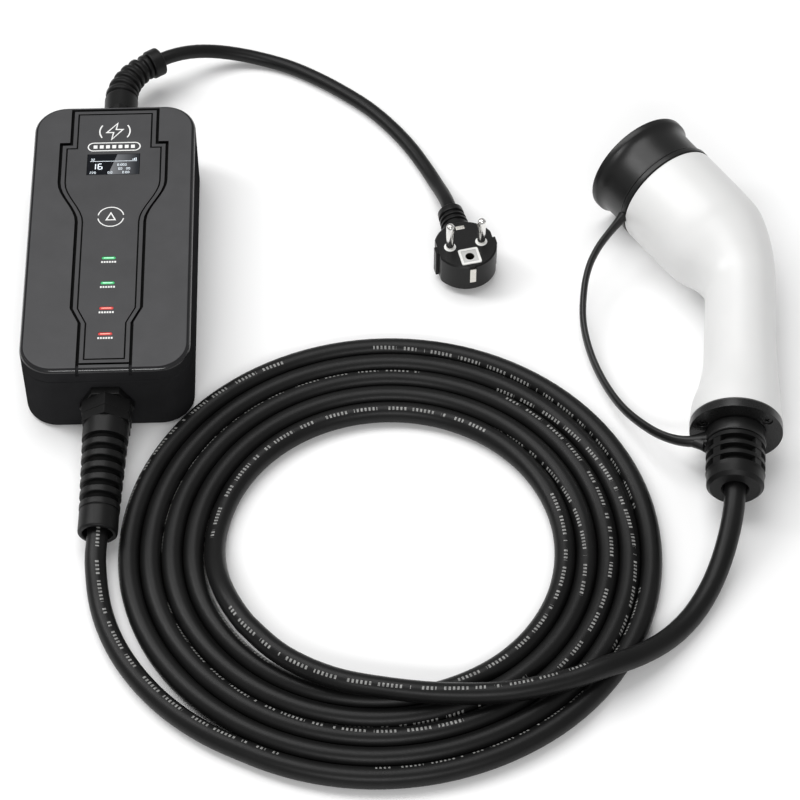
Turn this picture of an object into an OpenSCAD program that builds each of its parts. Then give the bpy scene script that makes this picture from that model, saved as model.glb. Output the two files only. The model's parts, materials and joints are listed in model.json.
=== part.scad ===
// Portable charger for electric cars: a control box, a mains plug and a vehicle connector
// on one flexible cable. Millimetres, +Z up, origin under the middle of the control box.

/* [Control box] */
// Width of the control box
box_w = 96; // [92:1:110]
// Length of the control box
box_l = 206; // [200:1:230]
// Height of the control box
box_h = 50; // [48:1:60]
// Corner radius of the box in plan
box_corner_r = 19; // [16:1:24]
// Rounding of the box's outer edges
box_edge_r = 3; // [1.5:0.5:4]
// Thickness of the side walls and the floor
box_wall = 2.6; // [2.2:0.2:3.4]
// Height of the cover's side wall
cover_h = 10; // [8:0.5:13]
// Thickness of the cover's top plate
cover_t = 3.2; // [2.8:0.1:4]
// Depth of the rebate that takes the cover's tongue
lap_h = 3; // [2:0.5:4]
// Clearance beside the cover's tongue
lap_gap = 0.15; // [0.05:0.05:0.3]
// Thickness of the gasket under the tongue
gasket_t = 1; // [0.6:0.2:1.6]
// Chamfer on both sides of the parting line
seam_chamfer = 0.6; // [0.3:0.1:1]
// Thread diameter of the cover screws
screw_d = 3; // [2.5:0.5:4]
// Length of the cover screws under the head
screw_l = 26; // [22:1:30]
// Diameter of the bosses that take the cover screws
boss_d = 9; // [8:0.5:11]
// Distance from the box's outer faces to the screw axes
boss_inset = 12; // [10:0.5:15]

/* [Front panel] */
// Thickness of the panel
panel_t = 1.4; // [1:0.1:1.8]
// Depth of the panel's face below the cover
panel_sink = 0.5; // [0.2:0.1:0.8]
// Gap between the panel and the cover
panel_gap = 1.8; // [1:0.1:2.2]
// Width of the panel's rim
panel_rim = 2.2; // [1.5:0.1:3]
// Width of the groove inside the rim
panel_groove_w = 0.9; // [0.5:0.1:1.2]
// Depth of the groove inside the rim
panel_groove_d = 0.5; // [0.3:0.1:0.9]
// Width of the panel's head
panel_head_w = 49; // [44:1:54]
// Width of the panel beside the display
panel_wide_w = 61; // [56:1:66]
// Width of the panel's waist
panel_waist_w = 38; // [34:1:44]
// Width of the panel's foot
panel_foot_w = 28; // [24:1:32]
// Width of the display window
display_w = 31; // [28:1:36]
// Height of the display window
display_h = 16.6; // [14:0.2:20]
// Diameter of the touch key's sensor
touch_d = 14; // [10:0.5:18]
// Length of one indicator bar
led_l = 8; // [6:0.5:10]
// Width of one indicator bar
led_w = 2; // [1.6:0.1:3]
// Distance between indicator bars
led_pitch = 19; // [15:0.5:20]

/* [Cables] */
// Outside diameter of the charging cable
cable_d = 11.8; // [10:0.2:12.4]
// Outside diameter of the mains cord
cord_d = 8.6; // [7.4:0.2:9.4]
// Inside radius of the coil
coil_inner_r = 90; // [70:1:92]
// Turns lying side by side in the coil
coil_turns = 5; // [3:1:5]

/* [Cable glands] */
// Height of both gland axes above the floor
gland_z = 22; // [20:0.5:24]
// Thread diameter of the gland on the charging cable
out_thread_d = 20; // [18:1:21]
// Width across flats of the gland on the charging cable
out_flats = 27; // [26:0.5:28]
// Thread diameter of the gland on the mains cord
in_thread_d = 16; // [14:1:17]
// Width across flats of the gland on the mains cord
in_flats = 21; // [21:0.5:24]
// Thickness of the glands' flanges
gland_flange_t = 5; // [4:0.5:7]
// Length of the outer thread that takes the compression nut
gland_stub_l = 7; // [5:0.5:9]
// Thickness of the locknuts inside the box
locknut_t = 5; // [4:0.5:7]
// Length of the clamped seals
seal_l = 4; // [3:0.5:6]
// Radial clearance of the gland threads
thread_gap = 0.1; // [0.05:0.05:0.2]
// Length of the bend relief on the charging cable
out_tail_l = 68; // [55:1:80]
// Radius of the bend relief on the charging cable where it starts
out_tail_r0 = 13; // [12.4:0.2:13.2]
// Radius of the bend relief on the charging cable at its mouth
out_tail_r1 = 10.6; // [9.6:0.2:11]
// Downward lean of the bend relief on the charging cable
out_tail_droop = 7; // [0:0.5:8]
// Sideways lean of the bend relief on the charging cable
out_tail_yaw = 2.5; // [0:0.5:4]
// Straight length of the bend relief on the mains cord
in_tail_l = 13; // [10:0.5:18]
// Bend radius of the bend relief on the mains cord
in_bend_r = 36; // [30:1:44]
// Angle through which the mains cord's bend relief turns
in_bend = 57; // [45:1:65]
// Radius of the mains cord's bend relief where it starts
in_tail_r0 = 10.2; // [9.6:0.2:10.4]
// Radius of the mains cord's bend relief at its collar
in_tail_r1 = 7.8; // [7:0.2:8.6]
// Radial clearance of a cable in its bend relief
relief_gap = 0.5; // [0.3:0.1:0.8]

/* [Mains plug] */
// Diameter of the plug's body
plug_d = 37; // [35:0.5:40]
// Width of the plug's body between its flat sides
plug_w = 33.6; // [32:0.4:35.2]
// Height of the plug's body from its back to its face
plug_h = 24; // [22:0.5:28]
// Chamfer round the plug's back
plug_chamfer = 5; // [3:0.5:6]
// Diameter of a pin
pin_d = 4.8; // [4:0.1:4.8]
// Length of a pin beyond the face
pin_l = 19; // [17:0.5:21]
// Distance between the pins
pin_spacing = 19; // [18:0.5:20]
// Distance from the pins' line to the earth socket
earth_offset = 10; // [9:0.5:10.5]
// Diameter of the earth socket
earth_d = 5.2; // [4.8:0.1:5.6]
// Length of the plug's bend relief beyond the body
plug_tail_l = 20; // [18:1:28]

/* [Vehicle connector] */
// Length from the tail face to the bend
handle_l = 114; // [108:1:122]
// Radius of the grip
handle_r = 21; // [20:0.5:23]
// Reach of the grip's inner side from its axis
grip_in_r = 19.2; // [18.6:0.2:20.4]
// Radius of the tail flange
flange_r = 26; // [25:0.5:28]
// Angle of the bend between grip and nose
bend = 39.5; // [36:0.5:43]
// Length from the bend to the nose's front edge
nose_l = 67; // [63:1:72]
// Radius of the nose
nose_r = 32.5; // [32:0.1:33]
// Wall thickness of the handle shell
shell_wall = 3; // [2.4:0.2:3.4]
// Outside radius of the contact shroud
shroud_r = 27.8; // [27:0.1:28]
// Length of the shroud beyond the nose's front edge
shroud_l = 25; // [22:0.5:26]
// Wall thickness of the shroud
shroud_wall = 3; // [2.4:0.2:3.2]
// Bore of the power contacts
power_bore_d = 6.1; // [6:0.05:6.3]
// Bore of the signal contacts
signal_bore_d = 3.1; // [3:0.05:3.3]
// Radius of the dust cap's barrel
cap_r = 31.4; // [30.8:0.1:31.4]
// Length of the dust cap
cap_l = 29.6; // [29:0.2:32]
// Radius of the dust cap's rim
rim_r = 34; // [34:0.2:35]
// Clearance between the cap and the shroud
cap_gap = 0.4; // [0.3:0.05:0.5]
// Thickness of the tether's strap
strap_t = 4; // [2.8:0.2:4.4]
// Width of the tether's strap
strap_w = 7; // [5:0.5:9]
// Length of the connector's bend relief
relief_l = 38; // [36:1:42]
// Radius of the connector's bend relief
relief_r = 16.5; // [15.5:0.5:18]

/* [Hidden] */
$fn = 64;
round_steps = 6;
eps = 0.01;
fit_gap = 0.1;

// Levels and distances inside the control box
part_z = box_h - cover_h;
cover_under = box_h - cover_t;
panel_z = box_h - panel_sink - panel_t;
far_y = box_l / 2;
near_y = -box_l / 2;
boss_split_z = 20;
screw_head_h = screw_d;
screw_head_d = 2 * screw_d;
screw_seat_z = screw_head_h + 0.5;
screw_places = [for (x = [-1, 1], y = [-1, 1]) [x * (box_w / 2 - boss_inset), y * (box_l / 2 - boss_inset)]];

// Panel stations: the display's end measured from the box's far end, the indicators' from its near end
panel_far_margin = 4;
panel_near_margin = 6;
panel_step_y = far_y - 32;
panel_shoulder_y = far_y - 62;
panel_waist_y = far_y - 94;
panel_hip_y = near_y + 46;
panel_foot_y = near_y + 35;
display_y = far_y - 48;
touch_y = far_y - 90;
led_y = near_y + 84;
led_ledge = 1.2;

// Boards and what stands on them
board_t = 1.6;
board_post_h = 8;
board_w = 76;
board_l = 150;
board_z = box_wall + board_post_h;
board_top = board_z + board_t;
board_inset = 5;
board_posts = [
    for (x = [-1, 1], y = [-1, 1]) [x * (board_w / 2 - board_inset), y * (board_l / 2 - board_inset)]
];
indicator_drop = 6;
indicator_w = 34;
indicator_inset = 4;
indicator_over = 14;
indicator_under = 10;
touch_to_post = 15;
indicator_top = cover_under - indicator_drop;
indicator_far_y = display_y + indicator_over;
indicator_near_y = led_y - 3 * led_pitch - indicator_under;
indicator_posts = [
    for (x = [-1, 1], y = [touch_y + touch_to_post, indicator_near_y + indicator_inset])
        [x * (indicator_w / 2 - indicator_inset), y]
];
relay_w = 24;
relay_l = 30;
relay_h = 20;
relay_x = 18;
relay_y = 18;
supply_w = 30;
supply_l = 22;
supply_h = 18;
supply_foot_h = 4;
supply_margin = 4;
supply_place = [-22, -22, 0];
chip_h = 0.8;
display_glass_t = 1.6;
display_board_t = 1.2;
terminal_y = 44;
terminal_w = 30;
terminal_d = 12;
terminal_h = 2 * (gland_z - board_top) - 3;
sensor_y = -60;
sensor_l = 10;
core_d = 2.2;
core_pitch = 4.6;
fan_l = 8;
board_screw_d = 2.5;
board_screw_l = 7;

// Cable glands
gland_inner_l = box_wall + locknut_t + 2;
nut_wall = 3;
nut_l = gland_stub_l + seal_l + nut_wall;
nut_grip_l = 0.6 * nut_l;
nut_step = 1;
tail_start = gland_flange_t + nut_l;
cable_start_y = box_l / 2 - gland_inner_l - 5;
in_collar_l = 8;
relief_lap = 1.6;
in_bend_end = [in_bend_r * (1 - cos(in_bend)), 0, tail_start + in_tail_l + in_bend_r * sin(in_bend)];
out_tail_dir = [
    -cos(out_tail_droop) * sin(out_tail_yaw), -cos(out_tail_droop) * cos(out_tail_yaw), -sin(out_tail_droop)
];

// Mains plug
plug_pos = [207, 8.6, 0];
plug_turn = 12;
plug_tail_z = 13;
plug_tail_r = 9;
plug_taper_x = 4.5;
plug_taper_z = 5.5;
pin_root = 9;
pin_root_d = pin_d - 0.6;
insert_w = 12;
insert_depth = 12;
insert_proud = 0.6;
insert_edge = 1.5;
insert_dish = 0.4;
collar_d = 7.2;
collar_h = 1.4;
clip_w = 3.7;
clip_t = 1;
clip_drop = 13.6;
clip_recess = 2.6;
clip_rear_w = clip_w + 1.6;
clip_rear_t = 2.8;
wing_w = 5;
wing_proud = 1.8;
wing_z = 4.5;
wing_drop = 0.8;
plug_tail_y = plug_d / 2 - 1;
clip_bridge_z = plug_h - clip_drop;
clip_front_y = -plug_d / 2 + clip_t;
clip_rear_y = plug_d / 2 - 5;

// Vehicle connector: it lies on the rim of its cap and on its tail flange
tail_gasket_t = 0.8;
tail_cover_t = 5;
tail_back = tail_gasket_t + tail_cover_t;
tail_spigot_l = 6;
tail_spigot_r = 15;
tail_sleeve_r = 9.2;
tail_screw_ring_r = 20.5;
tail_screw_angles = [40, 160, 280];
tail_screw_d = 3;
tail_screw_l = 12;
tail_head_h = 2.4;
tail_boss_r = 3.6;
tail_boss_l = 14;
tail_ring_t = 8;
tail_neck_r = 12.5;
tail_neck_l = tail_ring_t + 0.4;
ring_wall = 4;
cap_ring_t = 3;
cap_ring_wall = 0.8;
cap_clear = 0.4;
cap_face_t = 2.6;
rim_round = 2.2;
rim_t = nose_l + cap_clear + cap_l - rim_round;
connector_heading = 6.5;
rim_aside = rim_t * sin(bend) * sin(connector_heading);
rim_ahead = (handle_l + rim_t * cos(bend)) * cos(connector_heading) + rim_aside;
connector_tilt = asin((rim_r - flange_r) / (rim_ahead + tail_back));
connector_pos = [352, -133, flange_r + tail_back * sin(connector_tilt) + 0.1];
shroud_base_l = 14;
shroud_step = 2;
shroud_flat = 20;
tower_l = 22;
power_tower_r = 6;
signal_tower_r = 4.2;
power_tube_r = 4.2;
signal_tube_r = 2.6;
power_tube_l = 23.4;
signal_tube_l = 20;
mouth_depth = 0.5;
connector_cable_in = handle_l - 36;
shell_sides = 32;
// Places of the contacts on the nose: toward the outside of the bend, and across
power_places = [[0, 0], [0, 16.2], [0, -16.2]];
spare_places = [[-14.2, 8.6], [-14.2, -8.6]];
signal_places = [[12.4, 8], [12.4, -8]];

// Stations of the handle: inner point, outer point and half height
handle_stations = [
    [-flange_r, 0, flange_r, 0, flange_r],
    [1 - flange_r, 12, flange_r - 0.7, 12, flange_r - 1],
    [-grip_in_r - 2.4, 24, handle_r + 3.2, 24, handle_r + 2.4],
    [-grip_in_r, 40, handle_r + 2, 40, handle_r + 1],
    [-grip_in_r, handle_l - 49, handle_r + 0.8, handle_l - 48, handle_r + 0.6],
    [-grip_in_r, handle_l - 30, handle_r + 0.4, handle_l - 24, handle_r + 0.8],
    [-grip_in_r - 1, handle_l - 20, handle_r - 0.2, handle_l - 2, handle_r + 2],
    [-handle_r - 5.5, handle_l - 11.5, handle_r - 2.8, handle_l + 16, handle_r + 5],
    [-nose_r - 4.5, handle_l - 5.2, handle_r - 8, handle_l + 34, nose_r - 3.5],
    nose_station(30, nose_r - 1),
    nose_station(nose_l - 17, nose_r),
    nose_station(nose_l, nose_r)
];

// Coil and cable routes
coil_outer_r = coil_inner_r + coil_turns * cable_d;
coil_pos = [157, -198, 0];
strap_sides = 8;
core_sides = 8;
cord_sides = 10;
cable_sides = 12;
input_route = [
    [28, 172.8, 21.8], [41, 180.2, 18.5], [55, 185.6, 13.5], [71, 187.6, 8.6], [88, 185.4, 5.2],
    [105, 178.6, 4.4], [122, 167.6, 4.4], [138, 155, 4.4], [153, 141, 4.4], [166, 125, 4.4],
    [177, 108, 4.4], [186, 90, 4.6], [192, 75, 6], [196, 62, 9.6], [198.6, 51, 12.6]
];
output_route = [
    [-3.6, -206, 11.6], [-2.6, -223, 8], [2, -242, 6], [10.4, -261, 5.9], [23, -280, 5.9], [40, -298, 5.9]
];
connector_route = [
    [78.4, -253, 17.8], [98, -273.6, 17.8], [124, -288.4, 17.8], [153.6, -296, 17.8], [183, -300, 17.8],
    [216, -300, 17.8], [248, -293.4, 17.8], [268, -285.6, 17.4], [287, -275.6, 12.6], [304, -262.4, 7.6],
    [318, -247.4, 6], [329, -231, 7.6], [337, -214.6, 11.6], [342.6, -199, 17.4], [345.6, -187, 22]
];
strap_route = [
    [291, 6, 29.4], [284.4, -2, 26], [278.8, -12, 21.6], [275, -25, 16.4], [273.6, -41, 11.2], [276, -60, 8],
    [282.4, -81, 7.4], [291.6, -103, 10], [302.6, -121, 15], [313.6, -133.4, 20], [325, -140, 23.8]
];

// Points and vectors
function unit(v) = v / norm(v);
function smooth(t) = t * t * (3 - 2 * t);
function arc(c, r, from, to, steps) =
    [for (i = [0:steps]) let (a = from + (to - from) * i / steps) c + r * [cos(a), sin(a)]];
function turn_z(p, a) = [p.x * cos(a) - p.y * sin(a), p.x * sin(a) + p.y * cos(a), p.z];
function turn_x(p, a) = [p.x, p.y * cos(a) - p.z * sin(a), p.y * sin(a) + p.z * cos(a)];
function mirrored(half) = concat(half, [for (i = [len(half) - 1:-1:0]) [-half[i].x, half[i].y]]);
function catmull(a, b, c, d, t) =
    0.5 * (2 * b + (c - a) * t + (2 * a - 5 * b + 4 * c - d) * t * t + (3 * b - a - 3 * c + d) * t * t * t);
function spline(keys, steps) = concat(
    [for (i = [0:len(keys) - 2], k = [0:steps - 1])
        catmull(keys[max(i - 1, 0)], keys[i], keys[i + 1], keys[min(i + 2, len(keys) - 1)], k / steps)],
    [keys[len(keys) - 1]]);

// Places on the connector, from its own frame: +Y from the tail toward the bend
function connector_point(p) = connector_pos + turn_x(turn_z(p, -connector_heading), connector_tilt);
function nose_point(p) = connector_point([0, handle_l, 0] + turn_z(p, bend));

// Rings of a swept tube, and the faces between them
function heading(path, i) = unit(path[min(i + 1, len(path) - 1)] - path[max(i - 1, 0)]);
function sweep_ring(path, i, a, b, sides) =
    let (t = heading(path, i), s = unit(cross(t, [0, 0, 1])), n = cross(s, t))
    [for (j = [0:sides - 1]) path[i] + a * cos(360 * j / sides) * s + b * sin(360 * j / sides) * n];
function sweep_rings(path, a, b, sides) = [for (i = [0:len(path) - 1]) sweep_ring(path, i, a, b, sides)];
function flat_list(lists) = [for (one = lists, p = one) p];
function side_faces(rings, m, at, inward) =
    [for (i = [0:rings - 2], j = [0:m - 1], half = [0, 1])
        let (a = at + i * m + j, b = at + i * m + (j + 1) % m, c = b + m, d = a + m)
        let (tri = half == 0 ? [a, b, c] : [a, c, d])
        inward ? [tri[2], tri[1], tri[0]] : tri];

module swept_solid(rings) {
    m = len(rings[0]);
    last = (len(rings) - 1) * m;
    polyhedron(flat_list(rings), concat(
        side_faces(len(rings), m, 0, false),
        [[for (j = [m - 1:-1:0]) j]],
        [[for (j = [0:m - 1]) last + j]]));
}

module hollow_loft(outer, inner) {
    n = len(outer);
    m = len(outer[0]);
    in0 = n * m;
    end = (n - 1) * m;
    polyhedron(flat_list(concat(outer, inner)), concat(
        side_faces(n, m, 0, false),
        side_faces(n, m, in0, true),
        [for (j = [0:m - 1]) let (k = (j + 1) % m) [k, j, in0 + j, in0 + k]],
        [for (j = [0:m - 1]) let (k = (j + 1) % m) [end + j, end + k, in0 + end + k, in0 + end + j]]));
}

// Carries a section round a rounded rectangle: x runs out to the rim, y is the height
module around(w, l, r) {
    for (sx = [-1, 1], sy = [-1, 1])
        translate([sx * (w / 2 - r), sy * (l / 2 - r), 0])
            rotate([0, 0, atan2(sy, sx) - 45]) rotate_extrude(angle = 90) children();
    for (a = [0, 180])
        rotate([0, 0, a]) translate([w / 2 - r, l / 2 - r, 0])
            rotate([90, 0, 0]) linear_extrude(l - 2 * r) children();
    for (a = [90, 270])
        rotate([0, 0, a]) translate([l / 2 - r, w / 2 - r, 0])
            rotate([90, 0, 0]) linear_extrude(w - 2 * r) children();
}

module middle_plate(z, t) {
    inner_w = box_w - 2 * box_corner_r;
    inner_l = box_l - 2 * box_corner_r;
    translate([-inner_w / 2, -inner_l / 2, z]) cube([inner_w, inner_l, t]);
}

module block(size, pos) {
    translate(pos - [size.x / 2, size.y / 2, 0]) cube(size);
}

module tube_ring(r_out, r_in, h) {
    difference() {
        cylinder(r = r_out, h = h);
        translate([0, 0, -1]) cylinder(r = r_in, h = h + 2);
    }
}

// Lower shell of the control box, with the screw bosses and the posts of the board
module bottom_shell() {
    r = box_corner_r;
    lap_x = r - box_wall / 2;
    section = concat(
        [[0, 0]],
        arc([r - box_edge_r, box_edge_r], box_edge_r, -90, 0, round_steps),
        [[r, part_z - seam_chamfer], [r - seam_chamfer, part_z], [lap_x, part_z], [lap_x, part_z - lap_h],
         [r - box_wall, part_z - lap_h], [r - box_wall, box_wall], [0, box_wall]]);
    color("#1b1b1c") difference() {
        union() {
            around(box_w, box_l, r) polygon(section);
            middle_plate(0, box_wall);
            for (p = screw_places) translate(p) cylinder(d = boss_d, h = boss_split_z);
            for (p = board_posts) translate(p) cylinder(d = 6, h = board_z);
        }
        for (p = board_posts) translate([p.x, p.y, box_wall + 1]) cylinder(d = board_screw_d, h = board_z);
        for (p = screw_places) translate(p) {
            translate([0, 0, -1]) cylinder(d = screw_d + 0.4, h = boss_split_z + 2);
            translate([0, 0, -1]) cylinder(d = screw_head_d + 0.4, h = screw_seat_z + 1);
        }
        for (side = [[1, in_thread_d], [-1, out_thread_d]])
            translate([0, side[0] * (box_l / 2 - box_wall - 1), gland_z])
                rotate([-90 * side[0], 0, 0]) cylinder(d = side[1] + 2 * thread_gap, h = box_wall + 2);
    }
}

// Outline of the inlaid panel, drawn in by an inset
function panel_half(inset) = concat(
    [[panel_head_w / 2 - inset, far_y - panel_far_margin - inset],
     [panel_head_w / 2 - inset, panel_step_y - inset],
     [panel_wide_w / 2 - inset, panel_step_y - inset]],
    [for (i = [0:8]) let (t = i / 8)
        [panel_wide_w / 2 + (panel_waist_w - panel_wide_w) / 2 * smooth(t) - inset,
         panel_shoulder_y + (panel_waist_y - panel_shoulder_y) * t]],
    [[panel_waist_w / 2 - inset, panel_hip_y],
     [panel_foot_w / 2 - inset, panel_foot_y],
     [panel_foot_w / 2 - inset, near_y + panel_near_margin + inset]]);

module panel_prism(inset, z, h) {
    translate([0, 0, z]) linear_extrude(h) polygon(mirrored(panel_half(inset)));
}

function led_place(i) = [0, led_y - i * led_pitch];

module led_bar(l, w, z, h) {
    block([l - w, w, h], [0, 0, z]);
    for (x = [-1, 1]) translate([x * (l - w) / 2, 0, z]) cylinder(d = w, h = h);
}

// Cover of the control box: a recess for the panel and a tongue into the lower shell
module top_cover() {
    r = box_corner_r;
    tongue_x = r - box_wall / 2 - lap_gap;
    tongue_z = part_z - lap_h + gasket_t;
    section = concat(
        [[0, cover_under], [r - box_wall, cover_under], [r - box_wall, tongue_z], [tongue_x, tongue_z],
         [tongue_x, part_z], [r - seam_chamfer, part_z], [r, part_z + seam_chamfer]],
        arc([r - box_edge_r, box_h - box_edge_r], box_edge_r, 0, 90, round_steps),
        [[0, box_h]]);
    slot_drop = 5;
    color("#3c3c3e") difference() {
        union() {
            around(box_w, box_l, r) polygon(section);
            middle_plate(cover_under, cover_t);
            for (p = screw_places) translate([p.x, p.y, boss_split_z])
                cylinder(d = boss_d, h = cover_under - boss_split_z + eps);
            for (p = indicator_posts) translate([p.x, p.y, indicator_top])
                cylinder(d = 5, h = indicator_drop + eps);
        }
        panel_prism(-panel_gap, panel_z, box_h);
        block([panel_head_w + 2 * panel_gap, 2 * panel_far_margin, 2], [0, far_y, box_h - panel_sink]);
        for (x = [-1, 1])
            block([panel_gap, 2 * panel_near_margin, slot_drop + 1],
                  [x * (panel_foot_w + panel_gap) / 2, near_y - panel_near_margin + 0.8, box_h - slot_drop]);
        for (x = [-1, 1])
            block([panel_gap, panel_near_margin + 1, 2],
                  [x * (panel_foot_w + panel_gap) / 2, near_y + panel_near_margin / 2, box_h - 1]);
        block([display_w - 3, display_h - 3, box_h], [0, display_y, cover_under - 1]);
        for (i = [0:3]) translate(led_place(i))
            led_bar(led_l + fit_gap, led_w + fit_gap, cover_under - 1, box_h);
        for (p = screw_places) translate([p.x, p.y, boss_split_z - 1])
            cylinder(d = screw_d, h = screw_seat_z + screw_l + 1 - boss_split_z + 1);
        for (p = indicator_posts) translate([p.x, p.y, indicator_top - 1])
            cylinder(d = board_screw_d, h = indicator_drop + 0.5);
    }
}

// Sealing cord in the rebate under the cover's tongue
module cover_gasket() {
    r = box_corner_r;
    x0 = r - box_wall;
    x1 = r - box_wall / 2 - lap_gap;
    z = part_z - lap_h;
    color("#565656") around(box_w, box_l, r)
        polygon([[x0, z], [x1, z], [x1, z + gasket_t], [x0, z + gasket_t]]);
}

// Screws that pull the cover onto the lower shell from below
module cover_screws() {
    color("silver") for (p = screw_places) translate(p) {
        translate([0, 0, screw_seat_z - eps]) cylinder(d = screw_d - fit_gap / 2, h = screw_l + eps);
        difference() {
            translate([0, 0, screw_seat_z - screw_head_h]) cylinder(d = screw_head_d, h = screw_head_h);
            cross_recess(screw_head_d, screw_seat_z - screw_head_h);
        }
    }
}

module cross_recess(head_d, z) {
    for (a = [0, 90]) rotate([0, 0, a])
        block([head_d * 0.6, head_d * 0.14, head_d * 0.5], [0, 0, z - head_d * 0.25]);
}

// Inlaid panel with a raised field inside its rim
module front_panel() {
    color("#343436") difference() {
        panel_prism(0, panel_z, panel_t);
        difference() {
            panel_prism(panel_rim, panel_z + panel_t - panel_groove_d, panel_t);
            panel_prism(panel_rim + panel_groove_w, panel_z, 2 * panel_t);
        }
        block([display_w + 2 * fit_gap, display_h + 2 * fit_gap, panel_t + 2], [0, display_y, panel_z - 1]);
        for (i = [0:3]) translate(led_place(i))
            led_bar(led_l + fit_gap, led_w + fit_gap, panel_z - 1, panel_t + 2);
    }
}

// Clear window in the panel, seated on the cover
module display_window() {
    color("#20242a") block([display_w, display_h, panel_t], [0, display_y, panel_z]);
}

// Display glass, its board and the header that stands on the indicator board
module display_module() {
    board_under = cover_under - display_glass_t - display_board_t;
    color("#0c0e12") {
        block([display_w + 3, display_h + 3, display_glass_t], [0, display_y, cover_under - display_glass_t]);
        block([display_w + 2, display_h + 9, display_board_t], [0, display_y, board_under]);
        block([20, 2.5, board_under - indicator_top], [0, display_y + display_h / 2 + 2, indicator_top]);
    }
}

// Light guide of one indicator, from its chip to the panel's face
module light_guide(i, shade) {
    shoulder = 2 * led_ledge;
    color(shade) translate(led_place(i)) {
        led_bar(led_l, led_w, indicator_top + chip_h, panel_z + panel_t - indicator_top - chip_h);
        led_bar(led_l + shoulder, led_w + shoulder, cover_under - led_ledge, led_ledge);
    }
}

module led_power() {
    light_guide(0, "#35d07a");
}

module led_charge() {
    light_guide(1, "#35d07a");
}

module led_fault_1() {
    light_guide(2, "#e2372b");
}

module led_fault_2() {
    light_guide(3, "#e2372b");
}

// Capacitive sensor pressed against the cover under the touch key's mark
module touch_sensor() {
    disc_t = 1;
    color("gold") translate([0, touch_y, 0]) {
        translate([0, 0, cover_under - disc_t]) cylinder(d = touch_d, h = disc_t);
        translate([0, 0, indicator_top]) cylinder(d = 5, h = indicator_drop - disc_t + eps);
    }
}

// Board under the cover that carries the indicators, the sensor and the display
module indicator_board() {
    length = indicator_far_y - indicator_near_y;
    middle = (indicator_far_y + indicator_near_y) / 2;
    color("#14532d") {
        difference() {
            block([indicator_w, length, board_t], [0, middle, indicator_top - board_t]);
            for (p = indicator_posts) translate([p.x, p.y, 0])
                cylinder(d = board_screw_d + 2 * fit_gap, h = box_h);
        }
        for (i = [0:3]) translate(led_place(i))
            block([led_l - 3, led_w, chip_h + eps], [0, 0, indicator_top - eps]);
    }
}

// Main board on its four posts
module circuit_board() {
    color("#14532d") difference() {
        block([board_w, board_l, board_t], [0, 0, board_z]);
        for (p = board_posts) translate([p.x, p.y, board_z - 1])
            cylinder(d = board_screw_d + 2 * fit_gap, h = board_t + 2);
    }
}

// Relays that switch line and neutral
module power_relays() {
    size = [relay_w, relay_l, relay_h];
    color("#202830") for (x = [-1, 1]) block(size, [x * relay_x, relay_y, board_top]);
}

// Ring round the output cores that senses earth leakage
module current_transformer() {
    ring_r = gland_z - board_top;
    color("#8a2f1d") translate([0, sensor_y, gland_z]) rotate([90, 0, 0])
        tube_ring(ring_r, ring_r * 0.62, sensor_l);
}

// Transformer of the low-voltage supply
module supply_transformer() {
    m = supply_margin;
    color("#c9a227") translate(supply_place) {
        block([supply_w - m, supply_l, supply_foot_h], [0, 0, board_top]);
        block([supply_w, supply_l - 2 * m, supply_h], [0, 0, board_top]);
        block([supply_w - 2 * m, supply_l, supply_h - m], [0, 0, board_top]);
    }
}

// Terminals for the cores of both cables
module terminal_blocks() {
    color("#2f6f4f") for (y = [-1, 1]) difference() {
        block([terminal_w, terminal_d, terminal_h], [0, y * terminal_y, board_top]);
        for (i = [-2:2])
            translate([i * core_pitch, y * (terminal_y + terminal_d / 2), gland_z])
                rotate([90 * y, 0, 0]) cylinder(d = core_d + 2 * fit_gap, h = terminal_d / 2);
    }
}

// Cores of one cable, from its cut end to their terminals
module cores(y, count, spread) {
    face_y = y * (terminal_y + terminal_d / 2);
    fan_y = face_y + y * fan_l;
    for (i = [0:count - 1]) let (place = i - (count - 1) / 2)
        core_tube([
            [place * spread, y * cable_start_y, gland_z],
            [place * spread, fan_y, gland_z],
            [place * core_pitch, face_y, gland_z],
            [place * core_pitch, face_y - y * terminal_d / 4, gland_z]
        ], core_d);
}

module core_tube(path, d) {
    swept_solid(sweep_rings(path, d / 2, d / 2, core_sides));
}

module input_cores() {
    color("#2b5fb3") cores(1, 3, 2.6);
}

module output_cores() {
    color("#b8862b") cores(-1, 5, 2.3);
}

// Screws that hold both boards to their posts
module board_screws() {
    color("silver") {
        for (p = board_posts) translate([p.x, p.y, board_top]) mirror([0, 0, 1])
            pan_screw(board_screw_d, board_screw_l);
        for (p = indicator_posts) translate([p.x, p.y, indicator_top - board_t])
            pan_screw(board_screw_d, indicator_drop);
    }
}

// A screw with its seat at the origin, the thread along +Z and the head below
module pan_screw(d, l) {
    head_h = 0.8 * d;
    translate([0, 0, -eps]) cylinder(d = d - fit_gap / 2, h = l + eps);
    difference() {
        translate([0, 0, -head_h]) cylinder(d = 2 * d, h = head_h);
        cross_recess(2 * d, -head_h);
    }
}

// Cable glands, drawn with +Z leading out of the box wall
module at_input() {
    translate([0, box_l / 2, gland_z]) rotate([-90, 0, 0]) children();
}

module at_output() {
    translate([0, -box_l / 2, gland_z]) rotate([90, 0, 0]) children();
}

module hexagon(flats, h) {
    cylinder(d = flats / cos(30), h = h, $fn = 6);
}

module gland_body(thread_d, flats, bore_d) {
    difference() {
        union() {
            hexagon(flats, gland_flange_t);
            translate([0, 0, -gland_inner_l])
                cylinder(d = thread_d, h = gland_inner_l + gland_flange_t + gland_stub_l);
        }
        translate([0, 0, -gland_inner_l - 1])
            cylinder(d = bore_d, h = gland_inner_l + gland_flange_t + gland_stub_l + 2);
    }
}

module gland_locknut(thread_d, flats) {
    translate([0, 0, -box_wall - locknut_t]) difference() {
        hexagon(flats + 2, locknut_t);
        translate([0, 0, -1]) cylinder(d = thread_d + 2 * thread_gap, h = locknut_t + 2);
    }
}

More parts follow.
